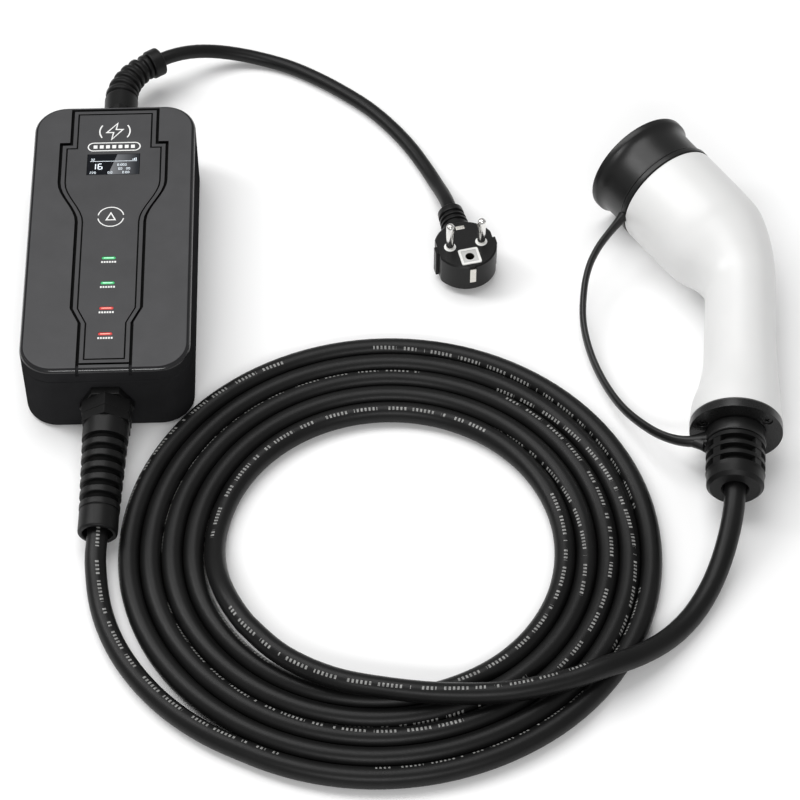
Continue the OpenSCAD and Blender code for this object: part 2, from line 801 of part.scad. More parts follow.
module gland_seal(thread_d, bore_d) {
    translate([0, 0, gland_flange_t + gland_stub_l]) tube_ring(thread_d / 2, bore_d / 2 + fit_gap, seal_l);
}

// Compression nut: a hexagon with a smaller step in front, hollow for the thread and the seal
module gland_nut(thread_d, flats, bore_d) {
    translate([0, 0, gland_flange_t]) difference() {
        rotate([0, 0, 30]) {
            hexagon(flats, nut_grip_l);
            hexagon(flats - nut_step, nut_l);
        }
        translate([0, 0, -1]) cylinder(d = thread_d + 2 * thread_gap, h = gland_stub_l + seal_l + 1);
        cylinder(d = bore_d, h = nut_l + 1);
    }
}

// Section of a ribbed bend relief: grooves cut into a taper, then a plain collar and an open mouth
function relief_section(r0, r1, l, grooves, groove_w, groove_d, collar_l, bore_r, mouth_r, mouth_l) =
    let (plain = 4, pitch = (l - collar_l - plain) / grooves, slope = (r1 - r0) / l)
    concat(
        [[bore_r, -relief_lap], [r0, -relief_lap], [r0, 0]],
        [for (i = [0:grooves - 1], k = [0:3])
            let (z0 = plain + i * pitch + (pitch - groove_w), z = z0 + [0, 0.3, groove_w - 0.3, groove_w][k])
            [r0 + slope * z - (k == 1 || k == 2 ? groove_d : 0), z]],
        [[r1 + 0.5, l - collar_l + 0.6], [r1 + 0.2, l - 1], [r1 - 0.8, l], [mouth_r, l],
         [mouth_r, l - mouth_l], [bore_r, l - mouth_l - (mouth_r - bore_r)]]);

module input_gland_body() {
    color("#161617") at_input() gland_body(in_thread_d, in_flats, cord_d + 2 * relief_gap);
}

module input_gland_locknut() {
    color("#161617") at_input() gland_locknut(in_thread_d, in_flats);
}

module input_gland_seal() {
    color("#3a3a3a") at_input() gland_seal(in_thread_d, cord_d);
}

module output_gland_body() {
    color("#161617") at_output() gland_body(out_thread_d, out_flats, cable_d + 2 * relief_gap);
}

module output_gland_locknut() {
    color("#161617") at_output() gland_locknut(out_thread_d, out_flats);
}

module output_gland_seal() {
    color("#3a3a3a") at_output() gland_seal(out_thread_d, cable_d);
}

module output_gland_boot() {
    bore_d = cable_d + 2 * relief_gap;
    section = relief_section(out_tail_r0, out_tail_r1, out_tail_l, 8, 2.6, 1.2, 16,
                             bore_d / 2, out_tail_r1 - 2.4, 8);
    color("#141415") at_output() {
        gland_nut(out_thread_d, out_flats, bore_d + 2 * relief_gap);
        translate([0, 0, tail_start]) rotate([out_tail_droop, -out_tail_yaw, 0])
            rotate_extrude() polygon(section);
    }
}

// Part of the mains cord's bend between two angles, turning toward +X with a round section
module bend_piece(from, to, r) {
    translate([in_bend_r, 0, tail_start + in_tail_l]) rotate([90, 0, 0]) rotate([0, 0, 180 - to])
        rotate_extrude(angle = to - from) translate([in_bend_r, 0]) circle(r);
}

module input_gland_boot() {
    ribs = 5;
    step = in_bend / ribs;
    groove_share = 0.35;
    core_r = in_tail_r1 - 0.6;
    bore_r = cord_d / 2 + relief_gap;
    lap = 1;
    color("#141415") at_input() {
        gland_nut(in_thread_d, in_flats, 2 * bore_r + relief_gap);
        difference() {
            union() {
                translate([0, 0, tail_start - lap]) cylinder(r = in_tail_r0, h = in_tail_l + 2 * lap);
                bend_piece(0, in_bend, core_r);
                for (i = [0:ribs - 1]) let (r = in_tail_r0 + (in_tail_r1 - in_tail_r0) * (i + 0.5) / ribs)
                    bend_piece((i + groove_share) * step, (i + 0.96) * step, r);
                translate(in_bend_end) rotate([0, in_bend, 0]) translate([0, 0, -lap])
                    cylinder(r = in_tail_r1 + 0.7, h = in_collar_l + lap);
            }
            translate([0, 0, tail_start - 2 * lap]) cylinder(r = bore_r, h = in_tail_l + 2 * lap);
            bend_piece(0, in_bend, bore_r);
            translate(in_bend_end) rotate([0, in_bend, 0]) translate([0, 0, -lap / 2])
                cylinder(r = bore_r + 0.2, h = in_collar_l + 2 * lap);
        }
    }
}

// Mains plug, lying on its back with the pins up
module at_plug() {
    translate(plug_pos) rotate([0, 0, plug_turn]) children();
}

function plug_point(p) = plug_pos + turn_z(p, plug_turn);

module earth_strips(gap, front_top) {
    rise = plug_h + 1 - clip_bridge_z;
    z = clip_bridge_z;
    block([clip_w + gap, clip_t + gap, front_top - z], [0, clip_front_y - clip_t / 2, z]);
    block([clip_w + gap, clip_rear_y - clip_front_y, clip_t], [0, (clip_rear_y + clip_front_y) / 2, z]);
    block([clip_rear_w + gap, clip_rear_t + gap, rise], [0, clip_rear_y, z]);
}

// Side view of the plug's body: straight flanks that taper toward the back
module plug_flanks() {
    half = plug_w / 2;
    side = [[half - plug_taper_x, -1], [half, plug_taper_z], [half, plug_h + 1]];
    rotate([90, 0, 0]) linear_extrude(2 * plug_d, center = true) polygon(mirrored(side));
}

module plug_body() {
    r = plug_d / 2;
    edge = 0.8;
    section = relief_section(plug_tail_r, plug_tail_r - 1.6, plug_tail_l, 3, 2.4, 1.1, 5,
                             cord_d / 2 + fit_gap, cord_d / 2 + 0.8, 2);
    color("#151516") at_plug() difference() {
        union() {
            intersection() {
                rotate_extrude() polygon([[0, 0], [r - plug_chamfer, 0], [r, plug_chamfer],
                                          [r, plug_h - edge], [r - edge, plug_h], [0, plug_h]]);
                plug_flanks();
            }
            block([plug_w + 2 * wing_proud, wing_w, plug_h - wing_drop - wing_z], [0, 0, wing_z]);
            translate([0, plug_tail_y, plug_tail_z]) rotate([-90, 0, 0]) rotate_extrude() polygon(section);
        }
        translate([0, plug_tail_y + 2, plug_tail_z]) rotate([-90, 0, 0])
            cylinder(r = cord_d / 2 + fit_gap, h = plug_tail_l);
        for (x = [-1, 1]) translate([x * pin_spacing / 2, 0, 0]) {
            translate([0, 0, plug_h - pin_root]) cylinder(d = pin_root_d, h = pin_root + 1);
            translate([0, 0, plug_h - collar_h]) cylinder(d = collar_d, h = collar_h + 1);
        }
        block([insert_w, insert_w, insert_depth + 1], [0, -earth_offset, plug_h - insert_depth]);
        earth_strips(fit_gap, plug_h + 1);
    }
}

// One round pin with a domed tip
module plug_pin(side) {
    tip = pin_d * 0.4;
    r = pin_d / 2;
    root = plug_h - pin_root;
    top = plug_h + pin_l;
    color("silver") at_plug() translate([side * pin_spacing / 2, 0, 0]) rotate_extrude()
        polygon(concat([[0, root], [pin_root_d / 2, root], [pin_root_d / 2, plug_h], [r, plug_h]],
                       arc([r - tip, top - tip], tip, 0, 90, round_steps), [[0, top]]));
}

module line_pin() {
    plug_pin(-1);
}

module neutral_pin() {
    plug_pin(1);
}

// Insulating rings round the roots of the pins
module pin_collars() {
    color("white") at_plug() for (x = [-1, 1])
        translate([x * pin_spacing / 2, 0, plug_h - collar_h])
            tube_ring(collar_d / 2, pin_root_d / 2, collar_h);
}

// Insert with the socket for an earth pin
module plug_face_insert() {
    color("white") at_plug() difference() {
        block([insert_w, insert_w, insert_depth + insert_proud], [0, -earth_offset, plug_h - insert_depth]);
        block([insert_w - 2 * insert_edge, insert_w - 2 * insert_edge, insert_dish + 1],
              [0, -earth_offset, plug_h + insert_proud - insert_dish]);
        translate([0, -earth_offset, plug_h - insert_depth + 1]) cylinder(d = earth_d, h = insert_depth + 2);
    }
}

// Earth contact: a strip bent up at both ends, bare on the two sides of the face
module plug_earth_clip() {
    color("#c8c4b8") at_plug() difference() {
        earth_strips(0, plug_h - clip_recess);
        translate([0, 0, plug_h]) cylinder(d = 2 * plug_d, h = 5);
    }
}

// Vehicle connector
module at_connector() {
    translate(connector_pos) rotate([connector_tilt, 0, 0]) rotate([0, 0, -connector_heading]) children();
}

// On the nose's axis, a distance from the bend, +Z leading out of the nose, +X to the outside of the bend
module on_nose(t) {
    at_connector() translate([0, handle_l, 0]) rotate([0, 0, bend]) translate([0, t, 0])
        rotate([-90, 0, 0]) children();
}

// On the tail cover's outer face, +Z leading back along the cable
module on_tail() {
    at_connector() translate([0, -tail_back, 0]) rotate([90, 0, 0]) children();
}

function nose_station(t, half) =
    let (n = [cos(bend), sin(bend)], d = [-sin(bend), cos(bend)], e = [0, handle_l] + t * d)
    let (a = e - nose_r * n, b = e + nose_r * n)
    [a.x, a.y, b.x, b.y, half];

function station_ring(s, inset) =
    let (c = [s[0] + s[2], s[1] + s[3]] / 2, across = [s[2] - s[0], s[3] - s[1]])
    let (u = unit(across), a = norm(across) / 2 - inset, b = s[4] - inset)
    [for (j = [0:shell_sides - 1]) let (f = 360 * j / shell_sides)
        [c.x + a * cos(f) * u.x, c.y + a * cos(f) * u.y, b * sin(f)]];

module tail_screw_places() {
    for (a = tail_screw_angles) rotate([0, 0, a]) translate([tail_screw_ring_r, 0, 0]) children();
}

// Handle: a hollow grip that turns into the nose, with bosses for the tail's screws
module handle_shell() {
    stations = spline(handle_stations, 3);
    outer = [for (s = stations) station_ring(s, 0)];
    inner = [for (s = stations) station_ring(s, shell_wall)];
    color("#f2f2f0") difference() {
        union() {
            at_connector() hollow_loft(outer, inner);
            on_tail() tail_screw_places() translate([0, 0, -tail_back - tail_boss_l])
                cylinder(r = tail_boss_r, h = tail_boss_l);
        }
        on_tail() tail_screw_places() translate([0, 0, -tail_back - tail_boss_l + 2])
            cylinder(d = tail_screw_d, h = tail_boss_l);
    }
}

// Cylinder with a flat on its +X side
module flatted(r, flat, h) {
    intersection() {
        cylinder(r = r, h = h);
        translate([-2 * r + flat, -2 * r, 0]) cube([2 * r, 4 * r, h]);
    }
}

// Shroud round the contacts, plugged into the nose
module nose_shroud() {
    inner_r = shroud_r - shroud_wall;
    color("#1a1a1b") on_nose(nose_l) difference() {
        union() {
            translate([0, 0, -shroud_base_l]) cylinder(r = nose_r - shell_wall - 0.3, h = shroud_base_l);
            flatted(shroud_r, shroud_flat + shroud_wall, shroud_l);
        }
        translate([0, 0, shroud_step - shroud_base_l])
            flatted(inner_r, shroud_flat, shroud_base_l + shroud_l);
        translate([0, 0, -shroud_base_l - 1]) cylinder(r = inner_r - 4, h = shroud_base_l);
    }
}

// Insulator that carries the contacts in towers
module contact_carrier() {
    base_l = shroud_base_l - shroud_step;
    power_hole_r = power_tube_r + fit_gap / 2;
    signal_hole_r = signal_tube_r + fit_gap / 2;
    color("#222224") on_nose(nose_l) difference() {
        union() {
            translate([0, 0, -base_l])
                flatted(shroud_r - shroud_wall - 2 * fit_gap, shroud_flat - 2 * fit_gap, base_l);
            for (p = concat(power_places, spare_places)) translate([p.x, p.y, -eps])
                cylinder(r = power_tower_r, h = tower_l + eps);
            for (p = signal_places) translate([p.x, p.y, -eps])
                cylinder(r = signal_tower_r, h = tower_l + eps);
        }
        for (p = power_places) translate([p.x, p.y, -base_l - 1])
            cylinder(r = power_hole_r, h = base_l + tower_l + 2);
        for (p = signal_places) translate([p.x, p.y, -base_l - 1])
            cylinder(r = signal_hole_r, h = base_l + tower_l + 2);
        for (p = spare_places) translate([p.x, p.y, 2]) cylinder(d = power_bore_d, h = tower_l);
    }
}

// A contact tube, open toward the car and closed behind
module contact_tube(r, bore_d, l) {
    back = 2;
    translate([0, 0, tower_l - mouth_depth - l]) difference() {
        cylinder(r = r, h = l);
        translate([0, 0, back]) cylinder(d = bore_d, h = l);
    }
}

module power_contacts() {
    color("#d9d4c4") on_nose(nose_l) for (p = power_places) translate([p.x, p.y, 0])
        contact_tube(power_tube_r, power_bore_d, power_tube_l);
}

module signal_contacts() {
    color("#d9d4c4") on_nose(nose_l) for (p = signal_places) translate([p.x, p.y, 0])
        contact_tube(signal_tube_r, signal_bore_d, signal_tube_l);
}

// Cores of the charging cable inside the handle, from its cut end to the contacts
module connector_cores() {
    gather = 0.18;
    power_back = tower_l - mouth_depth - power_tube_l;
    signal_back = tower_l - mouth_depth - signal_tube_l;
    color("#b8862b") at_connector() {
        for (p = power_places) core_path(p, gather, power_back, core_d);
        for (p = signal_places) core_path(p, gather, signal_back, core_d * 0.7);
    }
}

function on_nose_line(t, p) = [0, handle_l, 0] + turn_z([p.x, t, -p.y], bend);

module core_path(p, gather, back, d) {
    path = [
        [p.x * gather, connector_cable_in, -p.y * gather],
        [p.x * gather, handle_l - 30, -p.y * gather],
        [p.x * 0.4 + 1, handle_l - 2, -p.y * 0.4],
        on_nose_line(nose_l - 38, p * 0.7),
        on_nose_line(nose_l - shroud_base_l, p),
        on_nose_line(nose_l + back, p)
    ];
    core_tube(path, d);
}

// Disc that closes the handle's tail
module tail_cover() {
    color("#161617") on_tail() difference() {
        union() {
            translate([0, 0, -tail_cover_t]) cylinder(r = flange_r, h = tail_cover_t);
            translate([0, 0, -tail_back - tail_spigot_l])
                cylinder(r = tail_spigot_r, h = tail_back + tail_spigot_l - 1);
        }
        translate([0, 0, -tail_back - tail_spigot_l - 1])
            cylinder(r = tail_sleeve_r, h = tail_back + tail_spigot_l + 2);
        tail_screw_places() {
            translate([0, 0, -tail_cover_t - 1]) cylinder(d = tail_screw_d + 0.4, h = tail_cover_t + 2);
            translate([0, 0, -tail_head_h - 0.6]) cylinder(d = 2 * tail_screw_d + 0.4, h = tail_head_h + 2);
        }
    }
}

// Flat seal between the tail cover and the handle
module tail_gasket() {
    color("#565656") on_tail() translate([0, 0, -tail_back]) difference() {
        tube_ring(flange_r - 0.3, tail_spigot_r + fit_gap, tail_gasket_t);
        tail_screw_places() translate([0, 0, -1]) cylinder(d = tail_screw_d + 0.4, h = tail_gasket_t + 2);
    }
}

module tail_screws() {
    color("silver") on_tail() tail_screw_places() translate([0, 0, -tail_head_h - 0.6]) mirror([0, 0, 1])
        pan_screw(tail_screw_d, tail_screw_l);
}

// Bend relief behind the tail cover: a barbed sleeve, a neck for the tether and three rows of windows
module tail_boot() {
    bore_r = cable_d / 2 + relief_gap;
    sleeve_end = -tail_back - tail_spigot_l;
    rows_start = tail_neck_l + 3.2;
    collar_l = 7;
    rows = 3;
    pitch = (relief_l - collar_l - rows_start) / rows;
    web = 2.4;
    window_d = 3.4;
    end_r = relief_r - 0.6;
    section = concat(
        [[bore_r, sleeve_end - 2], [tail_sleeve_r + 1, sleeve_end - 1.6],
         [tail_sleeve_r + 1.4, sleeve_end - fit_gap],
         [tail_sleeve_r - fit_gap, sleeve_end - fit_gap], [tail_sleeve_r - fit_gap, 0], [tail_neck_r, 0],
         [tail_neck_r, tail_neck_l], [relief_r - 0.8, tail_neck_l], [relief_r, tail_neck_l + 0.8]],
        [for (i = [0:rows - 1], k = [0:3])
            let (z = rows_start + i * pitch + (k < 2 ? 0 : pitch - web))
            [relief_r - (k == 1 || k == 2 ? window_d : 0), z]],
        [[end_r, relief_l - collar_l], [end_r, relief_l - 2], [end_r - 2, relief_l], [bore_r + 1.4, relief_l],
         [bore_r, relief_l - 2]]);
    color("#141415") on_tail() {
        rotate_extrude() polygon(section);
        for (a = [45:90:315]) rotate([0, 0, a])
            block([window_d + 1, 5, rows * pitch - web / 2],
                  [relief_r - window_d / 2 - 0.8, 0, rows_start - eps]);
    }
}

// Dust cap over the shroud, flared to a rim that a hand can pull
module dust_cap() {
    inner_r = shroud_r + cap_gap;
    flare_z = cap_ring_t + 2;
    flare_steps = 12;
    lip_from = -30;
    lip_c = [rim_r - rim_round, cap_l - rim_round];
    lip = lip_c + rim_round * [cos(lip_from), sin(lip_from)];
    color("#171718") on_nose(nose_l + cap_clear) rotate_extrude() polygon(concat(
        [[inner_r, 0], [cap_r, 0]],
        [for (i = [0:flare_steps - 1]) let (t = i / flare_steps)
            [cap_r + (lip.x - cap_r) * pow(t, 8), flare_z + (lip.y - flare_z) * t]],
        arc(lip_c, rim_round, lip_from, 90, 2 * round_steps),
        [[0, cap_l], [0, cap_l - cap_face_t], [inner_r, cap_l - cap_face_t]]));
}

// Tether of the cap: a ring round the cap's foot, a strap and a ring round the boot's neck
module cap_tether() {
    foot_r = cap_r + cap_gap;
    ring_mid_r = foot_r + cap_ring_wall / 2;
    neck_r = tail_neck_r + 0.3;
    head = nose_point([-ring_mid_r, nose_l + cap_clear + cap_ring_t / 2, 0]);
    root = connector_point([-neck_r - ring_wall / 2, -tail_back - tail_neck_l / 2, 0]);
    path = spline(concat([head], strap_route, [root]), 2);
    color("#191919") {
        on_nose(nose_l + cap_clear + 0.2) tube_ring(foot_r + cap_ring_wall, foot_r, cap_ring_t);
        on_tail() translate([0, 0, (tail_neck_l - tail_ring_t) / 2])
            tube_ring(neck_r + ring_wall, neck_r, tail_ring_t);
        swept_solid(sweep_rings(path, strap_t / 2, strap_w / 2, strap_sides));
    }
}

// Cables: plain swept tubes and a plain coil
function out_tail_point(d) = [0, near_y - tail_start, gland_z] + d * out_tail_dir;
function in_bend_point(a) =
    [in_bend_r * (1 - cos(a)), far_y + tail_start + in_tail_l + in_bend_r * sin(a), gland_z];

module cord(path, d, sides) {
    color("#101011") swept_solid(sweep_rings(path, d / 2, d / 2, sides));
}

module input_cord() {
    collar_end = in_bend_point(in_bend) + in_collar_l * [sin(in_bend), cos(in_bend), 0];
    cord(concat(
        [[0, cable_start_y, gland_z], [0, far_y + gland_flange_t, gland_z]],
        [for (a = [0:in_bend / 3:in_bend]) in_bend_point(a)],
        [collar_end], input_route,
        [plug_point([0, plug_tail_y + plug_tail_l - 6, plug_tail_z]),
         plug_point([0, plug_tail_y + 2, plug_tail_z])]),
        cord_d, cord_sides);
}

module output_lead() {
    cord(concat(
        [[0, -cable_start_y, gland_z], [0, near_y - gland_flange_t, gland_z]],
        [for (d = [0:out_tail_l / 2:out_tail_l]) out_tail_point(d)],
        output_route), cable_d, cable_sides);
}

module cable_coil() {
    r = cable_d / 2;
    color("#101011") translate(coil_pos) rotate_extrude() polygon(concat(
        arc([coil_inner_r + r, r], r, 90, 270, round_steps),
        arc([coil_outer_r - r, r], r, -90, 90, round_steps)));
}

module connector_lead() {
    boot_mouth = connector_point([0, -tail_back - relief_l, 0]);
    cord(concat(connector_route,
        [boot_mouth, connector_point([0, -tail_back - relief_l / 2, 0]),
         connector_point([0, connector_cable_in, 0])]),
        cable_d, cable_sides);
}

bottom_shell();
top_cover();
cover_gasket();
cover_screws();
front_panel();
display_window();
display_module();
led_power();
led_charge();
led_fault_1();
led_fault_2();
touch_sensor();
indicator_board();
circuit_board();
power_relays();
current_transformer();
supply_transformer();
terminal_blocks();
input_cores();
output_cores();
board_screws();
input_gland_body();
input_gland_boot();
input_gland_locknut();
input_gland_seal();
output_gland_body();
output_gland_boot();
output_gland_locknut();
output_gland_seal();
plug_body();
line_pin();
neutral_pin();
pin_collars();
plug_face_insert();
plug_earth_clip();
handle_shell();
nose_shroud();
contact_carrier();
power_contacts();
signal_contacts();
connector_cores();
tail_cover();
tail_gasket();
tail_screws();
tail_boot();
dust_cap();
cap_tether();
input_cord();
output_lead();
cable_coil();
connector_lead();
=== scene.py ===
import json
import math

import bmesh
import bpy
from mathutils import Matrix, Vector

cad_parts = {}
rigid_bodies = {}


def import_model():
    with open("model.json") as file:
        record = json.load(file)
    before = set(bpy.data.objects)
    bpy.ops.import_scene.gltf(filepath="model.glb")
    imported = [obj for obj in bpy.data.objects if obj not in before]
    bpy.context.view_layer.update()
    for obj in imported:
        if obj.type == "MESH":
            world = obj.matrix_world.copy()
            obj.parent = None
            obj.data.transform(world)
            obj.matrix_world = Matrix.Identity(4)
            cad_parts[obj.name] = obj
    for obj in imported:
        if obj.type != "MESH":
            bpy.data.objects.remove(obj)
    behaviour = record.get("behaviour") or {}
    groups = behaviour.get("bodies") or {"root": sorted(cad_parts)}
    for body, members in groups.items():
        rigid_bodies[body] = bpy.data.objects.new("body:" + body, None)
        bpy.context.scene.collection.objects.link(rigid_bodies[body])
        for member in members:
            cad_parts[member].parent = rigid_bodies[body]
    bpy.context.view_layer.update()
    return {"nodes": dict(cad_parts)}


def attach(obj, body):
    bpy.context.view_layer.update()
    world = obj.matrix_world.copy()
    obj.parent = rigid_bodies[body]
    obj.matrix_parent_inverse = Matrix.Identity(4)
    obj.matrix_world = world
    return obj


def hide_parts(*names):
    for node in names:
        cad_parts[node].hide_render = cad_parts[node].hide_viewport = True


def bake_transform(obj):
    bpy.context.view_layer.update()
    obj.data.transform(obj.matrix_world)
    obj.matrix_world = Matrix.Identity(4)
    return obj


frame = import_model()

MM = 0.001
QUARTER, FULL_TURN = math.pi / 2, 2 * math.pi
UP = Vector((0, 0, 1))

# Control box
FAR_Y, NEAR_Y = 103 * MM, -103 * MM
PANEL_TOP = 49.5 * MM
COVER_FLAT_OVER, PANEL_FLAT_OVER = 49 * MM, 49.3 * MM
GROOVE_HALF_W, GROOVE_HALF_L, GROOVE_OVER = 36 * MM, 100 * MM, 47.5 * MM
FLAT_NORMAL, EDGE_NORMAL_LOW, EDGE_NORMAL_HIGH = 0.97, 0.2, 0.88
PRINT_LIFT = 0.05 * MM
DISPLAY_Y, DISPLAY_W, DISPLAY_H = 55 * MM, 31 * MM, 16.6 * MM
BOLT_Y, PILL_Y, TOUCH_Y = 82 * MM, 69.4 * MM, 13 * MM
LED_YS = [(-19 - 19 * i) * MM for i in range(4)]

# Cables, glands and plug
CABLE_D, CORD_D = 11.8 * MM, 8.6 * MM
PRINT_FACES = Vector((0, -0.62, 0.78))
PRINT_WANDER, WANDER_L, UNDER_L = 0.22, 1.42, 0.8
GLAND_Z, FLANGE_T, TAIL_START = 22 * MM, 5 * MM, 19 * MM
OUT_FLATS, OUT_BORE_R, OUT_TAIL_R0, OUT_TAIL_R1 = 27 * MM, 6.4 * MM, 13 * MM, 10.6 * MM
IN_FLATS, IN_BORE_R, IN_TAIL_R0, IN_TAIL_R1 = 21 * MM, 4.8 * MM, 10.2 * MM, 7.8 * MM
OUT_TAIL_L, OUT_DROOP, OUT_YAW = 68 * MM, math.radians(7), math.radians(2.5)
IN_TAIL_L, IN_BEND_R, IN_BEND, IN_COLLAR_L = 13 * MM, 36 * MM, math.radians(57), 8 * MM
COIL_CENTRE = Vector((0.157, -0.198, 0))
COIL_OUTER_R, COIL_TURNS = 149 * MM, 5
PLUG_TAIL_Z, EARTH_Y = 13 * MM, -10 * MM

# Vehicle connector
HANDLE_L, BEND, NOSE_L = 114 * MM, math.radians(39.5), 67 * MM
FLANGE_R, HANDLE_R, GRIP_IN_R, NOSE_R = 26 * MM, 21 * MM, 19.2 * MM, 32.5 * MM
CAP_R, CAP_L, RIM_R = 31.4 * MM, 29.6 * MM, 34 * MM
TAIL_BACK = 5.8 * MM
CONNECTOR_POS = Vector((0.352, -0.133, 0.026334))
CONNECTOR_HEADING, CONNECTOR_TILT = math.radians(6.5), math.radians(2.309)

# Lines of the free cables and of the cap's strap
INPUT_ROUTE = [
    (0.028, 0.1728, 0.0218), (0.041, 0.1802, 0.0185), (0.055, 0.1856, 0.0135), (0.071, 0.1876, 0.0086),
    (0.088, 0.1854, 0.0052), (0.105, 0.1786, 0.0044), (0.122, 0.1676, 0.0044), (0.138, 0.155, 0.0044),
    (0.153, 0.141, 0.0044), (0.166, 0.125, 0.0044), (0.177, 0.108, 0.0044), (0.186, 0.09, 0.0046),
    (0.192, 0.075, 0.006), (0.196, 0.062, 0.0096), (0.1986, 0.051, 0.0126),
]
OUTPUT_ROUTE = [
    (-0.0036, -0.206, 0.0116), (-0.0002, -0.2325, 0.0068), (0.0084, -0.257, 0.0059),
    (0.0214, -0.2788, 0.0059), (0.0382, -0.298, 0.0059), (0.0588, -0.3142, 0.0059),
]
CONNECTOR_ROUTE = [
    (0.0784, -0.253, 0.0178), (0.098, -0.2736, 0.0178), (0.124, -0.2884, 0.0178), (0.1536, -0.296, 0.0178),
    (0.183, -0.3, 0.0178), (0.216, -0.3, 0.0178), (0.248, -0.2934, 0.0178), (0.268, -0.2856, 0.0174),
    (0.287, -0.2756, 0.0126), (0.304, -0.2624, 0.0076), (0.318, -0.2474, 0.006), (0.329, -0.231, 0.0076),
    (0.337, -0.2146, 0.0116), (0.3426, -0.199, 0.0174), (0.3456, -0.187, 0.022),
]
STRAP_ROUTE = [
    (0.289, 0.0064, 0.0294), (0.2836, -0.0006, 0.0264), (0.2786, -0.010, 0.0224), (0.2752, -0.0226, 0.0174),
    (0.2736, -0.041, 0.0112), (0.276, -0.061, 0.008), (0.282, -0.083, 0.0074), (0.291, -0.105, 0.010),
    (0.302, -0.123, 0.015), (0.313, -0.1356, 0.020), (0.3246, -0.142, 0.0238),
]

# Line of the gusset beside the strap's root, in millimetres from the connector's tail
GUSSET_ROUTE = [(-38, -7.4, -6.3), (-30, -10.6, -3.6), (-24, -12.6, -1.9), (-17.2, -14.2, -0.4)]


def turned(angle, axis):
    return Matrix.Rotation(angle, 4, axis)


def moved(x, y, z):
    return Matrix.Translation((x, y, z))


AT_OUTPUT = moved(0, NEAR_Y, GLAND_Z) @ turned(QUARTER, "X")
AT_INPUT = moved(0, FAR_Y, GLAND_Z) @ turned(-QUARTER, "X")
OUT_TAIL = AT_OUTPUT @ moved(0, 0, TAIL_START) @ turned(-OUT_YAW, "Y") @ turned(OUT_DROOP, "X")
AT_PLUG = moved(0.207, 0.0086, 0) @ turned(math.radians(12), "Z")
AT_CONNECTOR = (Matrix.Translation(CONNECTOR_POS) @ turned(CONNECTOR_TILT, "X")
                @ turned(-CONNECTOR_HEADING, "Z"))
AT_BEND = AT_CONNECTOR @ moved(0, HANDLE_L, 0) @ turned(BEND, "Z")
ON_NOSE = AT_BEND @ moved(0, NOSE_L, 0) @ turned(-QUARTER, "X")
ON_TAIL = AT_CONNECTOR @ moved(0, -TAIL_BACK, 0) @ turned(QUARTER, "X")


# Camera, light and floor

def add_camera():
    target = Vector((0.1655, -0.0888, 0))
    azimuth, elevation, distance = math.radians(-1.64), math.radians(51.29), 1.608
    back = Vector((math.sin(azimuth) * math.cos(elevation), -math.cos(azimuth) * math.cos(elevation),
                   math.sin(elevation)))
    lens = bpy.data.cameras.new("camera")
    lens.lens, lens.sensor_width = 126, 36
    camera = bpy.data.objects.new("camera", lens)
    camera.location = target + distance * back
    camera.rotation_euler = (-back).to_track_quat("-Z", "Y").to_euler()
    bpy.context.scene.collection.objects.link(camera)
    bpy.context.scene.camera = camera


def add_lamp(name, place, wide, deep, power):
    light = bpy.data.lights.new(name, "AREA")
    light.shape, light.size, light.size_y, light.energy = "ELLIPSE", wide, deep, power
    lamp = bpy.data.objects.new(name, light)
    lamp.location = place
    aim = Vector((0.16, -0.09, 0))
    lamp.rotation_euler = (aim - Vector(place)).to_track_quat("-Z", "Y").to_euler()
    bpy.context.scene.collection.objects.link(lamp)


def add_world():
    world = bpy.data.worlds.new("studio")
    bpy.context.scene.world = world
    world.use_nodes = True
    nodes, links = world.node_tree.nodes, world.node_tree.links
    nodes.clear()
    path = nodes.new("ShaderNodeLightPath")
    seen = nodes.new("ShaderNodeMath")
    seen.operation = "MAXIMUM"
    white, fill = nodes.new("ShaderNodeBackground"), nodes.new("ShaderNodeBackground")
    white.inputs["Strength"].default_value = 1.0
    white.inputs["Color"].default_value = (1, 1, 1, 1)
    fill.inputs["Strength"].default_value = 0.4
    fill.inputs["Color"].default_value = (1, 1, 1, 1)
    mix, out = nodes.new("ShaderNodeMixShader"), nodes.new("ShaderNodeOutputWorld")
    links.new(path.outputs["Is Camera Ray"], seen.inputs[0])
    links.new(path.outputs["Is Transmission Ray"], seen.inputs[1])
    links.new(seen.outputs[0], mix.inputs["Fac"])
    links.new(fill.outputs[0], mix.inputs[1])
    links.new(white.outputs[0], mix.inputs[2])
    links.new(mix.outputs[0], out.inputs["Surface"])


def add_floor():
    half_size, drop = 4, 0.2 * MM
    bm = bmesh.new()
    bmesh.ops.create_grid(bm, x_segments=1, y_segments=1, size=half_size)
    mesh = bpy.data.meshes.new("floor")
    bm.to_mesh(mesh)
    bm.free()
    floor = bpy.data.objects.new("floor", mesh)
    floor.location.z = -drop
    bpy.context.scene.collection.objects.link(floor)
    paper = bpy.data.materials.new("floor_paper")
    paper.use_nodes = True
    shader = paper.node_tree.nodes["Principled BSDF"]
    shader.inputs["Base Color"].default_value = (0.95, 0.95, 0.95, 1)
    shader.inputs["Roughness"].default_value = 0.9
    shader.inputs["Specular IOR Level"].default_value = 0.0
    mesh.materials.append(paper)


# Finishes

def finish_nodes(name, metallic, roughness, specular):
    finish = bpy.data.materials.new(name)
    finish.use_nodes = True
    nodes = finish.node_tree.nodes
    shader = nodes["Principled BSDF"]
    shader.inputs["Metallic"].default_value = metallic
    shader.inputs["Roughness"].default_value = roughness
    shader.inputs["Specular IOR Level"].default_value = specular
    return finish, nodes, finish.node_tree.links, shader


def object_noise(nodes, links, size, detail=2.0):
    where, noise = nodes.new("ShaderNodeTexCoord"), nodes.new("ShaderNodeTexNoise")
    noise.inputs["Scale"].default_value = 1 / size
    noise.inputs["Detail"].default_value = detail
    links.new(where.outputs["Object"], noise.inputs["Vector"])
    return noise.outputs["Fac"]


